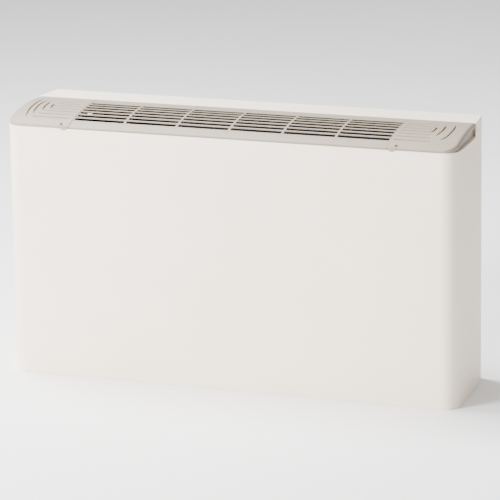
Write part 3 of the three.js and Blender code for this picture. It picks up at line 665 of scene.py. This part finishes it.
def make_grille():
    first = make_module_mesh()
    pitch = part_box("grille_module_2")[0].x - MODULE_LOW.x
    for i in range(MODULE_COUNT):
        piece = first if i == 0 else link("module", first.data.copy())
        move(piece, Matrix.Translation((pitch * i, 0, 0)))
        piece.name = f"grille_{i + 1}"
        settle(piece, 0.4 * MM, GREIGE, f"grille_module_{i + 1}")


make_grille()

FLAP_INSET = 1.6 * MM
# the curved grooves near a flap's end, as plan points in millimetres on the right side;
# the left flap has four and the right flap three
LEFT_GROOVES = (
    ((419.5, 13), (421.4, -17), (419.5, -52), (414.5, -83)),
    ((408, 5), (410.2, -22), (408.4, -50), (404, -70)),
    ((396.4, -4), (396.4, -28), (392.6, -54)),
    ((383.3, -17), (381.4, -39)),
)
RIGHT_GROOVES = (
    ((412, 7), (416.2, -20), (415.6, -50), (411.6, -65), (406, -73)),
    ((395.4, 0), (398, -29), (393.8, -57)),
    ((382, -12), (382.8, -29), (379.6, -44)),
)
GROOVE_HALF = 1.9 * MM
GROOVE_DEPTH = 3 * MM
# outer ends of the shallow troughs that carry on the slot rows across each flap, rear row first
LEFT_TROUGH_ENDS = (370, 374, 379, 383, 388, 394, 401)
RIGHT_TROUGH_ENDS = (378, 379, 379, 380, 382, 386, 390)
TROUGH_START_X = 321 * MM
TROUGH_HALF = 1.7 * MM
TROUGH_DEPTH = 2.2 * MM
FLAP_SKIN = 3.6 * MM
LEFT_SEAM = 0.9 * MM
# the flap's outer rim: rounded over above, recessed below
RIM_RADIUS = 6 * MM
RIM_START = 0.8 / 6
RIM_OUT = -2 * MM
RECESS_INSET = 4.5 * MM
RECESS_DROP = 8 * MM
RIM_INSET = RECESS_INSET + PLASTIC_WALL


def flap_plan(inset, corner):
    """Plan of the right flap's outer side, with a round rear corner, closed inside the grille."""
    rear = PLASTIC_REAR_Y - inset
    whole = outline(FLAP_INSET + inset, rear)
    right = [point for point in whole if point[0] > 0.2]
    rim_x, rim_y = right[-1]
    right = [point for point in right if point[1] < rim_y - corner]
    right += arc(rim_x - corner, rim_y - corner, corner, 0, QUARTER, 10)
    inner = FLAP_LOW.x - 10 * MM
    return [(inner, rear), (inner, right[0][1])] + right


def smooth_path(points, steps=8):
    """A Catmull-Rom curve through plan points."""
    ends = [2 * points[0] - points[1], *points, 2 * points[-1] - points[-2]]
    path = []
    for i in range(1, len(ends) - 2):
        before, here, there, after = ends[i - 1 : i + 3]
        for step in range(steps):
            t = step / steps
            slope = (there - before) * t
            bend = (2 * before - 5 * here + 4 * there - after) * t**2
            twist = (3 * here - before - 3 * there + after) * t**3
            path.append(0.5 * (2 * here + slope + bend + twist))
    return path + [points[-1]]


def groove_tool(points):
    """A bent slot cutter that tapers at both ends."""
    path = smooth_path([Vector(point) * MM for point in points])
    last = len(path) - 1
    left, right = [], []
    for i, here in enumerate(path):
        along = (path[min(i + 1, last)] - path[max(i - 1, 0)]).normalized()
        across = Vector((-along.y, along.x))
        taper = min(1, 0.25 + 4 * min(i, last - i) / last)
        left.append(tuple(here + across * GROOVE_HALF * taper))
        right.append(tuple(here - across * GROOVE_HALF * taper))
    return prism("groove", left + right[::-1], "z", 0.45, 0.55)


def flap_profile(drop, inset, bottom):
    """The plastic top's side outline with a round lower rear corner beside the casing's riser."""
    points = top_profile(drop, inset, bottom)
    radius = CUT_CORNER - GAP
    rear = PLASTIC_REAR_Y - inset
    corner = arc(rear - radius, bottom + radius, radius, -QUARTER, 0, 8)
    return corner + points[1:]


def sunk_tool(tool, depth):
    """The same cutter, stopped at one depth below the plastic's surface."""
    floor = prism("floor", top_profile(depth, 0, PLASTIC_BOTTOM - MM), "x", 0.3, HALF_WIDTH)
    return cut(tool, floor)


def rim_cutter(name, section):
    """A cutter swept round the right flap's corner and side.

    The section's points are (inset from the plan, drop below the surface) for a share from 0 at
    the corner's start to 1 along the side.
    """
    path = [point for point in outline(FLAP_INSET, PLASTIC_REAR_Y + 6 * MM) if point[0] > CORNER_X]
    loops = []
    for i, (x, y) in enumerate(path):
        before, after = path[max(i - 1, 0)], path[min(i + 1, len(path) - 1)]
        inward = Vector((before[1] - after[1], after[0] - before[0])).normalized()
        share = min(1, i / CORNER_STEPS)
        loop = []
        for inset, drop in section(share):
            at = Vector((x, y)) + inward * inset
            loop.append((at.x, at.y, top_height(max(at.y, PLASTIC_FRONT_Y)) - drop))
        loops.append(loop)
    return loft(name, loops)


def rounded_rim(share):
    radius = (RIM_START + share * (1 - RIM_START)) * RIM_RADIUS
    curve = [
        (radius * (1 - math.sin(t)), radius * (1 - math.cos(t)))
        for t in (QUARTER * i / 8 for i in range(9))
    ]
    return [(RIM_OUT, RIM_OUT), (RIM_OUT, radius), *reversed(curve), (radius, RIM_OUT)]


def recessed_rim(share):
    depth, below = share * RECESS_INSET, 40 * MM
    edge = (depth, RECESS_DROP + 0.5 * MM)
    return [(RIM_OUT, RECESS_DROP), (RIM_OUT, below), (depth, below), edge]


def make_flap(grooves, trough_ends, seam):
    """A flap as it sits at the right end."""
    inner = FLAP_LOW.x + seam
    flap = prism("flap", flap_profile(0, 0, PLASTIC_BOTTOM), "x", inner, HALF_WIDTH)
    boolean(flap, [prism("plan", flap_plan(0, 2 * MM), "z", 0.4, 0.6)], "INTERSECT")
    below = top_profile(FLAP_SKIN, PLASTIC_WALL, PLASTIC_BOTTOM - MM)
    hollow = prism("hollow", below, "x", inner - MM, HALF_WIDTH)
    boolean(hollow, [prism("plan", flap_plan(RIM_INSET, 1.5 * MM), "z", 0.4, 0.6)], "INTERSECT")
    cut(flap, hollow)
    cut(flap, rim_cutter("recess", recessed_rim))
    cut(flap, rim_cutter("round", rounded_rim))

    for groove in grooves:
        cut(flap, sunk_tool(groove_tool(groove), GROOVE_DEPTH))
    for i, end in enumerate(trough_ends):
        row = FIRST_SLOT_Y + SLOT_PITCH * (SLOT_COUNT - 1 - i)
        shape = slot_outline(TROUGH_START_X, end * MM, row, TROUGH_HALF)
        cut(flap, sunk_tool(prism("trough", shape, "z", 0.45, 0.55), TROUGH_DEPTH))

    lock = middle_of("right_lock_screw")[:2]
    surface = top_height(lock[1])
    join(flap, rod("boss", "z", lock, 6 * MM, PLASTIC_BOTTOM, surface - MM))
    tab = rod("tab", "y", (TAB_X, TAB_Z), TAB_RADIUS, FLAP_LOW.y, FLAP_LOW.y + TAB_DEPTH, 48)
    spare = block("spare", (TAB_X - 0.02, -0.2, TAB_TOP), (TAB_X + 0.02, 0, TAB_Z + 0.02))
    cut(tab, spare)
    join(flap, tab)
    cut(flap, rod("hole", "z", lock, 3.6 * MM, PLASTIC_BOTTOM - MM, HEIGHT))
    return flap


def make_flaps():
    right = make_flap(RIGHT_GROOVES, RIGHT_TROUGH_ENDS, 0)
    right.name = "flap_right"
    left = make_flap(LEFT_GROOVES, LEFT_TROUGH_ENDS, LEFT_SEAM)
    left.name = "flap_left"
    move(left, Matrix.Scale(-1, 4, (1, 0, 0)))
    left.data.flip_normals()
    for piece, side in ((right, "right"), (left, "left")):
        settle(piece, 0.35 * MM, GREIGE, side + "_flap", side + "_flap")


make_flaps()

# --- screws


def screw_head(x, y, top, radius, drive):
    """A pan head with a crown and a drive recess, facing up: straight, or crossed."""
    steps = 6
    loops = []
    for i in range(steps + 1):
        t = QUARTER * i / steps
        spread = radius * (0.55 + 0.45 * math.cos(t))
        z = top - 1.2 * MM * (1 - math.sin(t))
        loops.append([(u, v, z) for u, v in ring(x, y, spread, 28)])
    loops.insert(0, [(u, v, top - 2.4 * MM) for u, v in ring(x, y, radius, 28)])
    head = loft("head", loops)
    arms = [(0.5 * MM, radius * 1.2)] if drive == "straight" else [(0.45 * MM, radius * 0.62)]
    if drive == "cross":
        arms.append(arms[0][::-1])
    low, high = top - 1.1 * MM, top + MM
    tools = [block("drive", (x - u, y - v, low), (x + u, y + v, high)) for u, v in arms]
    return cut(head, *tools)


def threaded_shank(name, axis_point, radius, low, high, pitch=0.9 * MM):
    """An upright shank whose profile rises and falls with the thread."""
    x, y = axis_point
    turns = max(2, round((high - low) / pitch))
    loops = []
    for i in range(2 * turns + 1):
        z = low + (high - low) * i / (2 * turns)
        crest = radius if i % 2 else radius * 0.82
        loops.append([(u, v, z) for u, v in ring(x, y, crest, 20)])
    return loft(name, loops)


# how far a lock screw's head is sunk below the CAD screw's top
LOCK_HEAD_DROP = 7 * MM


def make_lock_screws():
    for side in ("left", "right"):
        body = side + "_lock_screw"
        low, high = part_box(body)
        x, y, _ = middle_of(body)
        top = high.z - LOCK_HEAD_DROP
        shank = threaded_shank(f"lock_screw_{side}", (x, y), 2 * MM, low.z, top - 2 * MM)
        join(shank, screw_head(x, y, top, 3.1 * MM, "cross"))
        settle(shank, 0.1 * MM, SCREW, body, body)


def make_casing_screws():
    for part in ("left_lower", "left_upper", "right_lower", "right_upper"):
        node = "casing_screw_" + part
        low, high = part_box(node)
        x, _, z = middle_of(node)
        size = high.y - low.y
        radius = (high.x - low.x) / 2
        screw = threaded_shank("screw_" + part, (0, 0), 2.4 * MM, -size, -2 * MM, 1.1 * MM)
        join(screw, screw_head(0, 0, 0, radius * 0.98, "cross"))
        move(screw, Matrix.Rotation(QUARTER, 4, "X"), Matrix.Translation((x, low.y, z)))
        settle(screw, 0.15 * MM, SCREW, node)


make_lock_screws()
make_casing_screws()

# --- fans and motor

SCROLL_LOW, SCROLL_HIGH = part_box("right_fan_scroll")
WHEEL_LOW, WHEEL_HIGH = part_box("right_fan_wheel")
SHAFT_LOW, SHAFT_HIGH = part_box("fan_shaft")
SHAFT = SHAFT_Y, SHAFT_Z = middle_of("fan_shaft")[1:]
SHAFT_RADIUS = (SHAFT_HIGH.z - SHAFT_LOW.z) / 2
FAN_X = middle_of("right_fan_wheel")[0]
WHEEL_RADIUS = (WHEEL_HIGH.z - WHEEL_LOW.z) / 2
WHEEL_HALF = (WHEEL_HIGH.x - WHEEL_LOW.x) / 2
BLADES = 40


def turned(name, profile, steps=64):
    """A closed ring turned about the shaft from a profile of (x, radius) points."""
    count = len(profile)
    vertices, faces = [], []
    for i in range(steps):
        t = math.tau * i / steps
        for x, radius in profile:
            vertices.append((x, SHAFT_Y + radius * math.cos(t), SHAFT_Z + radius * math.sin(t)))
        for j in range(count):
            k = (j + 1) % count
            following = (i + 1) % steps * count
            faces.append((i * count + j, i * count + k, following + k, following + j))
    return build(name, vertices, faces)


def hoop(x_low, x_high, inner, outer):
    return turned("hoop", [(x_low, inner), (x_high, inner), (x_high, outer), (x_low, outer)])


def make_wheel(side, sign):
    """Curved blades between two end rings, with a hub disc in the middle."""
    centre = sign * FAN_X
    inner = WHEEL_RADIUS - 11 * MM
    bore = SHAFT_RADIUS + 0.35 * MM
    pieces = []
    for end in (-1, 1):
        edge = centre + end * WHEEL_HALF
        pieces.append(hoop(*sorted((edge, edge - end * 3 * MM)), inner, WHEEL_RADIUS))
    pieces.append(hoop(centre - MM, centre + MM, bore, WHEEL_RADIUS - 0.5 * MM))
    pieces.append(hoop(centre - 14 * MM, centre + 14 * MM, bore, 13 * MM))
    middle = (WHEEL_RADIUS + inner) / 2
    bend = 6.5 * MM
    reach = WHEEL_HALF - MM
    for i in range(BLADES):
        turn = math.tau * i / BLADES
        centre_v = (middle * math.cos(turn), middle * math.sin(turn))
        outer_arc = arc(*centre_v, bend + 0.45 * MM, turn - 1.0, turn + 1.0, 8)
        inner_arc = arc(*centre_v, bend - 0.45 * MM, turn + 1.0, turn - 1.0, 8)
        shape = []
        along = Vector((math.cos(turn), math.sin(turn)))
        side_way = Vector((-along.y, along.x))
        for u, v in outer_arc + inner_arc:
            across = Vector((u - centre_v[0], v - centre_v[1]))
            local = (across.dot(side_way), across.dot(along) - 0.75 * bend)
            point = Vector(centre_v) + along * local[0] * 0.82 + side_way * local[1]
            shape.append((SHAFT_Y + point.x, SHAFT_Z + point.y))
        pieces.append(prism("blade", shape, "x", centre - reach, centre + reach))
    wheel = merge(pieces)
    wheel.name = f"fan_wheel_{side}"
    soften(wheel, 0.3 * MM, 1, 50)
    place(wheel, BLACK, "rotor", f"{side}_fan_wheel")


def scroll_outline(inset, top, steps=40):
    """The spiral housing's side outline (y, z), drawn in by inset."""
    start, end = math.tau / 3, math.tau
    points = [(SCROLL_TONGUE_Y + inset, top)]
    for i in range(steps + 1):
        angle = start + (end - start) * i / steps
        radius = SCROLL_START + (SCROLL_END - SCROLL_START) * i / steps - inset
        points.append((SHAFT_Y + radius * math.cos(angle), SHAFT_Z + radius * math.sin(angle)))
    points.append((SHAFT_Y + SCROLL_END - inset, top))
    return points


SCROLL_START = 70 * MM
SCROLL_END = 92 * MM
SCROLL_TONGUE_Y = -25 * MM
INLET_RADIUS = 52 * MM


def make_scroll(side, sign):
    """The housing with a rolled inlet ring in each cheek."""
    low, high = sorted((sign * SCROLL_LOW.x, sign * SCROLL_HIGH.x))
    top = SCROLL_HIGH.z
    housing = prism("scroll", scroll_outline(0, top), "x", low, high)
    inside = prism("inside", scroll_outline(SHEET, top + MM), "x", low + SHEET, high - SHEET)
    cut(housing, inside)
    eye = rod("eye", "x", SHAFT, INLET_RADIUS, low - MM, high + MM, 64)
    cut(housing, eye)
    for edge, out in ((low, 1), (high, -1)):
        a, b = edge + out * 0.2 * MM, edge + out * 4.5 * MM
        section = ((a, 0.4), (b, -2), (b, -3), (a, -1))
        curl = turned("curl", [(x, INLET_RADIUS + rise * MM) for x, rise in section])
        join(housing, curl)
    housing.name = f"fan_scroll_{side}"
    settle(housing, 0.35 * MM, ZINC, f"{side}_fan_scroll")


def make_shaft():
    shaft = rod("fan_axle", "x", SHAFT, SHAFT_RADIUS, SHAFT_LOW.x, SHAFT_HIGH.x, 48)
    flats = []
    for sign in (-1, 1):
        x = sign * FAN_X
        low = (x - 12 * MM, SHAFT_Y - 8 * MM, SHAFT_Z + 5.2 * MM)
        flats.append(block("flat", low, (x + 12 * MM, SHAFT_Y + 8 * MM, SHAFT_Z + 8 * MM)))
    cut(shaft, *flats)
    soften(shaft, 0.5 * MM)
    place(shaft, SCREW, "rotor", "fan_shaft")


def make_motor():
    """A stator shell between two domed end shields, with cooling slots."""
    low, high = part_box("fan_motor")
    radius = (high.z - low.z) / 2
    half = high.x
    bore = SHAFT_RADIUS + 0.6 * MM
    profile = [(half, bore), (half, 14 * MM), (half - 9 * MM, 15.5 * MM)]
    # distances in millimetres from the end and from the largest radius
    dome = ((11, 12), (15, 4), (18, 1), (19, 0), (24, 0), (24.5, 1.2), (25.5, 1.2), (26, 0))
    profile += [(half - back * MM, radius - down * MM) for back, down in dome]
    motor = turned("motor", profile + [(-x, r) for x, r in reversed(profile)], 96)
    slots = []
    for end in (-1, 1):
        for i in range(12):
            low = (-1.2 * MM, -5 * MM, radius - 3 * MM)
            slot = block("slot", low, (1.2 * MM, 5 * MM, radius + 3 * MM))
            out = Matrix.Translation((end * (half - 17 * MM), 0, 0))
            move(slot, Matrix.Rotation(QUARTER, 4, "Z"), out)
            turn = Matrix.Rotation(math.tau * (i + 0.5) / 12, 4, "X")
            move(slot, turn, Matrix.Translation((0, *SHAFT)))
            slots.append(slot)
    cut(motor, merge(slots))
    motor.name = "motor_body"
    settle(motor, 0.4 * MM, MOTOR, "fan_motor")


def make_capacitor():
    low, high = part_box("run_capacitor")
    y, z = middle_of("run_capacitor")[1:]
    radius = (high.z - low.z) / 2
    can = rod("capacitor", "x", (y, z), radius, low.x, high.x - 8 * MM, 48)
    collar = rod("collar", "x", (y, z), radius * 0.9, high.x - 10 * MM, high.x - 5 * MM, 48)
    join(can, collar)
    for offset in (-6 * MM, 6 * MM):
        corner = (high.x - 6 * MM, y + offset - 0.4 * MM, z - 3 * MM)
        blade = block("blade", corner, (high.x, y + offset + 0.4 * MM, z + 3 * MM))
        join(can, blade)
    settle(can, 0.8 * MM, WHITE, "run_capacitor")


for fan_side, fan_sign in (("left", -1), ("right", 1)):
    make_wheel(fan_side, fan_sign)
    make_scroll(fan_side, fan_sign)
make_shaft()
make_motor()
make_capacitor()


# --- coil, in its own leaning frame

COIL_CENTRE = Vector((0, -10 * MM, 330 * MM))
COIL_LEAN = math.radians(25)
COIL_HALF_X = 290 * MM
COIL_HALF_LENGTH = 105 * MM
COIL_HALF_DEPTH = 22 * MM
TUBE_RADIUS = 5 * MM
TUBE_ROW = 11 * MM
TUBE_STEPS = (-75 * MM, -25 * MM, 25 * MM, 75 * MM)
TUBE_TURN_X = 294.8 * MM
HEADER_X = -358 * MM
HEADER_RADIUS = 9 * MM
FIN_COUNT = 116


def lean(piece):
    move(piece, Matrix.Rotation(-COIL_LEAN, 4, "X"), Matrix.Translation(COIL_CENTRE))


def make_fins():
    """A core with a rippled comb of thin fins on both faces and round tube ways."""
    pitch = 2 * COIL_HALF_X / FIN_COUNT
    fin = 0.5 * MM
    depth = 7 * MM
    front, back = [], []
    for i in range(FIN_COUNT):
        x = -COIL_HALF_X + i * pitch
        rim = COIL_HALF_DEPTH - (0.25 * MM if i % 2 else 0)
        front += [(x, -rim), (x + fin, -rim), (x + fin, depth - rim), (x + pitch, depth - rim)]
        back += [(x, rim), (x + fin, rim), (x + fin, rim - depth), (x + pitch, rim - depth)]
    fins = prism("coil_fins", front + back[::-1], "z", -COIL_HALF_LENGTH, COIL_HALF_LENGTH)
    ways = []
    for row in (-TUBE_ROW, TUBE_ROW):
        for step in TUBE_STEPS:
            ways.append(rod("way", "x", (row, step), TUBE_RADIUS + 0.4 * MM, -0.3, 0.3, 20))
    cut(fins, *ways)
    lean(fins)
    place(fins, FIN_FOIL, "cabinet", "coil_fin_block")


def swept(name, path, radius, sides=16):
    """A round bar along a path of points."""
    loops = []
    side = Vector((0, 0, 1)).cross(path[1] - path[0])
    for i, here in enumerate(path):
        along = (path[min(i + 1, len(path) - 1)] - path[max(i - 1, 0)]).normalized()
        side = (side - along * side.dot(along)).normalized()
        up = along.cross(side)
        loop = [here + side * u + up * v for u, v in ring(0, 0, radius, sides)]
        loops.append([tuple(point) for point in loop])
    return loft(name, loops)


def make_tubes():
    """One serpentine: up one row and down the other, with U bends at both ends."""
    collar_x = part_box("inlet_header")[1].x - 5 * MM
    stops = [(-TUBE_ROW, step) for step in TUBE_STEPS]
    stops += [(TUBE_ROW, step) for step in reversed(TUBE_STEPS)]
    path = [Vector((collar_x, *stops[0]))]
    for i in range(len(stops) - 1):
        end = -1 if i % 2 else 1
        here, there = (Vector((0, *stop)) for stop in stops[i : i + 2])
        middle, arm = (here + there) / 2, (here - there) / 2
        for k in range(13):
            angle = math.pi * k / 12
            reach = arm.length * math.sin(angle)
            point = middle + arm * math.cos(angle)
            path.append(Vector((end * (TUBE_TURN_X + reach), point.y, point.z)))
    path.append(Vector((collar_x, *stops[-1])))
    tube = swept("coil_pipe", path, TUBE_RADIUS)
    lean(tube)
    soften(tube, 0.2 * MM, 1)
    place(tube, COPPER, "cabinet", "coil_tube")


def lathe(name, x, y, profile):
    """An upright solid turned from (radius, z) points that start and end near the axis."""
    loops = [[(u, v, z) for u, v in ring(x, y, radius, 40)] for radius, z in profile]
    return loft(name, loops)


def make_header(node, name, tube_row, port_z):
    """An upright pipe with domed ends, a threaded hexagon port and a brazed socket for the tube."""
    low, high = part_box(node)
    cosine, sine = math.cos(COIL_LEAN), math.sin(COIL_LEAN)
    tube_y = COIL_CENTRE.y + tube_row * cosine + TUBE_STEPS[0] * sine
    tube = (tube_y, COIL_CENTRE.z - tube_row * sine + TUBE_STEPS[0] * cosine)
    port = (tube_y, port_z)
    x = HEADER_X
    radius = HEADER_RADIUS
    dome = ((0.6, 0), (0.9, 0.8 * MM), (1, 2.4 * MM))
    profile = [(radius * share, low.z + rise) for share, rise in dome]
    profile += [(radius * share, high.z - rise) for share, rise in reversed(dome)]
    header = lathe(name, x, tube_y, profile)
    neck = rod("neck", "x", port, 8 * MM, x - 16 * MM, x)
    hexagon = rod("hexagon", "x", port, 15 * MM, low.x, x - 14 * MM, 6)
    washer = rod("washer", "x", port, 11.5 * MM, x - 14 * MM, x - 12 * MM)
    braze = rod("braze", "x", tube, TUBE_RADIUS + 2.2 * MM, x + 5 * MM, high.x)
    join(header, neck, hexagon, washer, braze)
    socket = rod("socket", "x", tube, TUBE_RADIUS + GAP, x + 3.5 * MM, high.x + MM)
    thread = []
    for i in range(17):
        crest = (9.5 if i % 2 else 8.9) * MM
        along = low.x - MM + i * MM
        thread.append([(along, u, v) for u, v in ring(*port, crest, 40)])
    cut(header, socket, loft("thread", thread))
    settle(header, 0.5 * MM, BRASS, node)


def make_air_vent():
    low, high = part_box("air_vent_body")
    x, y, _ = middle_of("air_vent_body")
    body = rod("vent_body", "z", (x, y), 6.5 * MM, low.z, high.z, 6)
    collar = lathe("collar", x, y, [(5 * MM, low.z), (5 * MM, high.z - MM)])
    join(body, collar)
    cut(body, rod("way", "z", (x, y), 3.6 * MM, low.z + 4 * MM, high.z + MM, 32))
    cut(body, rod("weep", "y", (x, low.z + 8 * MM), 0.8 * MM, y - 8 * MM, y, 16))
    settle(body, 0.4 * MM, BRASS, "air_vent_body")
    low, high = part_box("air_vent_screw")
    screw = threaded_shank("vent_screw", (x, y), 3.1 * MM, low.z, high.z - 2 * MM)
    join(screw, screw_head(x, y, high.z, 3.2 * MM, "straight"))
    settle(screw, 0.15 * MM, SCREW, "air_vent_screw", "air_vent_screw")


make_fins()
make_tubes()
make_header("inlet_header", "header_in", -TUBE_ROW, 222 * MM)
make_header("outlet_header", "header_out", TUBE_ROW, 312 * MM)
make_air_vent()

# --- controls

PANEL_LOW, PANEL_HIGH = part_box("control_panel")
# millimetres: each level's height and half sizes, and the hub's radii and heights
KNOB_GRIP = ((2, 3.5, 12.8), (7, 3.1, 12.3), (10.2, 2.6, 11.6), (11, 2.0, 10.8))
KNOB_HUB = ((8.6, 2), (8, 8), (7, 9))


def make_knob(node, name):
    """A ribbed skirt, a tapered grip with a pointer groove, and a spindle through the panel."""
    low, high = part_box(node)
    x, y, _ = middle_of(node)
    base = PANEL_HIGH.z + GAP
    plan = []
    for i in range(96):
        t = math.tau * i / 96
        radius = (15 if i % 4 < 2 else 14.4) * MM
        plan.append((x + radius * math.cos(t), y + radius * math.sin(t)))
    knob = prism(name, plan, "z", base, base + 3 * MM)
    grip = []
    for z, across, along in KNOB_GRIP:
        a, b = across * MM, along * MM
        level = rounded(x - a, x + a, y - b, y + b, 1.9 * MM)
        grip.append([(u, v, base + z * MM) for u, v in level])
    hub = lathe("hub", x, y, [(radius * MM, base + z * MM) for radius, z in KNOB_HUB])
    spindle = rod("spindle", "z", (x, y), 3.5 * MM, low.z, base + MM, 24)
    join(knob, loft("grip", grip), hub, spindle)
    near, far = (x - 0.5 * MM, y - 14 * MM, high.z - MM), (x + 0.5 * MM, y - 3 * MM, high.z + MM)
    cut(knob, block("pointer", near, far))
    settle(knob, 0.3 * MM, WHITE, node, node)


def tick(x, y, angle, near, far, half):
    """A small raised mark on the panel, pointing away from a knob's centre."""
    u, v = math.sin(angle), -math.cos(angle)
    points = [(near, -half), (far, -half), (far, half), (near, half)]
    plan = [(x + along * u - across * v, y + along * v + across * u) for along, across in points]
    return prism("tick", plan, "z", PANEL_HIGH.z - 0.2 * MM, PANEL_HIGH.z + 0.2 * MM)


def make_panel():
    """The cover plate with spindle holes, two screws' dimples and raised scale marks."""
    low, high = PANEL_LOW, PANEL_HIGH
    plan = rounded(low.x, high.x, low.y, high.y, 3 * MM)
    panel = prism("panel", plan, "z", low.z, high.z)
    tools, marks = [], []
    # each knob's first mark, step and count, and its marks' half width and growth
    scales = (("speed_knob", -90, 45, 4, 0.7, 0), ("thermostat_knob", -135, 30, 10, 0.5, 0.12))
    for node, start, spread, count, half, growth in scales:
        x, y, _ = middle_of(node)
        tools.append(rod("way", "z", (x, y), 4.5 * MM, low.z - MM, high.z + MM))
        for i in range(count):
            angle = math.radians(start + i * spread)
            marks.append(tick(x, y, angle, 17 * MM, 20.5 * MM, (half + growth * i) * MM))
    for x in (low.x + 5 * MM, high.x - 5 * MM):
        for y in (low.y + 5 * MM, high.y - 5 * MM):
            tools.append(rod("dimple", "z", (x, y), 2.4 * MM, high.z - 0.9 * MM, high.z + MM, 24))
    cut(panel, *tools)
    settle(panel, 0.4 * MM, BLACK, "control_panel")
    scale = merge(marks)
    scale.name = "panel_marks"
    place(scale, MARKING, "cabinet", slot="white_plastic")


def make_terminals():
    low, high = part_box("terminal_block")
    ways = 6
    pitch = (high.y - low.y) / ways
    strip = block("terminals", (low.x, low.y, low.z), (high.x, high.y, high.z - 6 * MM))
    towers, cuts = [], []
    for i in range(ways):
        y0 = low.y + i * pitch + 0.8 * MM
        y1 = low.y + (i + 1) * pitch - 0.8 * MM
        near = (low.x + 2 * MM, y0, high.z - 7 * MM)
        towers.append(block("tower", near, (high.x - 2 * MM, y1, high.z)))
        for x in (low.x + 7 * MM, high.x - 7 * MM):
            spot = (x, (y0 + y1) / 2)
            cuts.append(rod("well", "z", spot, 2.9 * MM, high.z - 8 * MM, high.z + MM, 24))
        for x in (low.x - MM, high.x - 5 * MM):
            near = (x, y0 + 2.4 * MM, low.z + 4 * MM)
            cuts.append(block("entry", near, (x + 6 * MM, y1 - 2.4 * MM, low.z + 9 * MM)))
    join(strip, *towers)
    cut(strip, *cuts)
    settle(strip, 0.3 * MM, WHITE, "terminal_block")


def make_gland():
    low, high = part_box("cable_gland")
    x, y, _ = middle_of("cable_gland")
    box_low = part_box("control_box")[0].z
    hexagon = rod("gland", "z", (x, y), 11 * MM, box_low - GAP - 10 * MM, box_low - GAP, 6)
    neck = threaded_shank("neck", (x, y), 8 * MM, box_low - GAP - MM, high.z, 1.4 * MM)
    cap = [(6.4 * MM, low.z), (7.8 * MM, low.z + 2 * MM), (8 * MM, box_low - 9 * MM)]
    join(hexagon, neck, lathe("cap", x, y, cap))
    cut(hexagon, rod("way", "z", (x, y), 5 * MM, low.z - MM, high.z + MM, 32))
    settle(hexagon, 0.4 * MM, BLACK, "cable_gland")


make_knob("speed_knob", "knob_speed")
make_knob("thermostat_knob", "knob_thermostat")
make_panel()
make_terminals()
make_gland()


# --- carried-over CAD nodes

def finish_frame_nodes():
    for part in frame["record"]["subparts"]:
        node = frame["nodes"][part["node"]]
        if node.hide_render:
            continue
        for holder in node.material_slots:
            holder.material = bpy.data.materials[FINISH_PREFIX + part["material_slot"]]
        bevel(node, 0.35 * MM, 2, 40)


finish_frame_nodes()

# --- floor and light


def make_floor():
    size = 8
    corners = [(-size, -size, 0), (size, -size, 0), (size, size, 0), (-size, size, 0)]
    floor = build("floor", corners, [(0, 1, 2, 3)])
    nodes = Nodes("floor")
    cloud = nodes.patches((1.5, 3), 0.3, 0.7)
    colour = nodes.blend(cloud, (0.93, 0.93, 0.93, 1), (0.96, 0.96, 0.96, 1))
    floor.data.materials.append(nodes.finish(colour, nodes.remap(cloud, 0, 1, 0.75, 0.85)))
    floor.location.z = CAD_LOW.z - 0.2 * MM


def add_light(name, position, target, size, watts):
    data = bpy.data.lights.new(name, "AREA")
    data.shape = "RECTANGLE"
    data.size, data.size_y = size
    data.energy = watts
    lamp = link(name, data)
    lamp.location = position
    direction = Vector(target) - Vector(position)
    lamp.rotation_mode = "QUATERNION"
    lamp.rotation_quaternion = direction.to_track_quat("-Z", "Y")


def light_scene():
    world = bpy.data.worlds.new("studio")
    world.use_nodes = True
    world.node_tree.nodes["Background"].inputs["Color"].default_value = (1, 1, 1, 1)
    world.node_tree.nodes["Background"].inputs["Strength"].default_value = 0.7
    bpy.context.scene.world = world
    middle = (0, 0, 0.3)
    add_light("key", (-2.4, -3.0, 1.5), middle, (1.4, 1.4), 470)
    add_light("top", (-1.3, 0.3, 3.0), middle, (1.6, 1.6), 300)
    add_light("fill", (3.2, -1.0, 1.0), middle, (1.2, 1.2), 10)


make_floor()
light_scene()
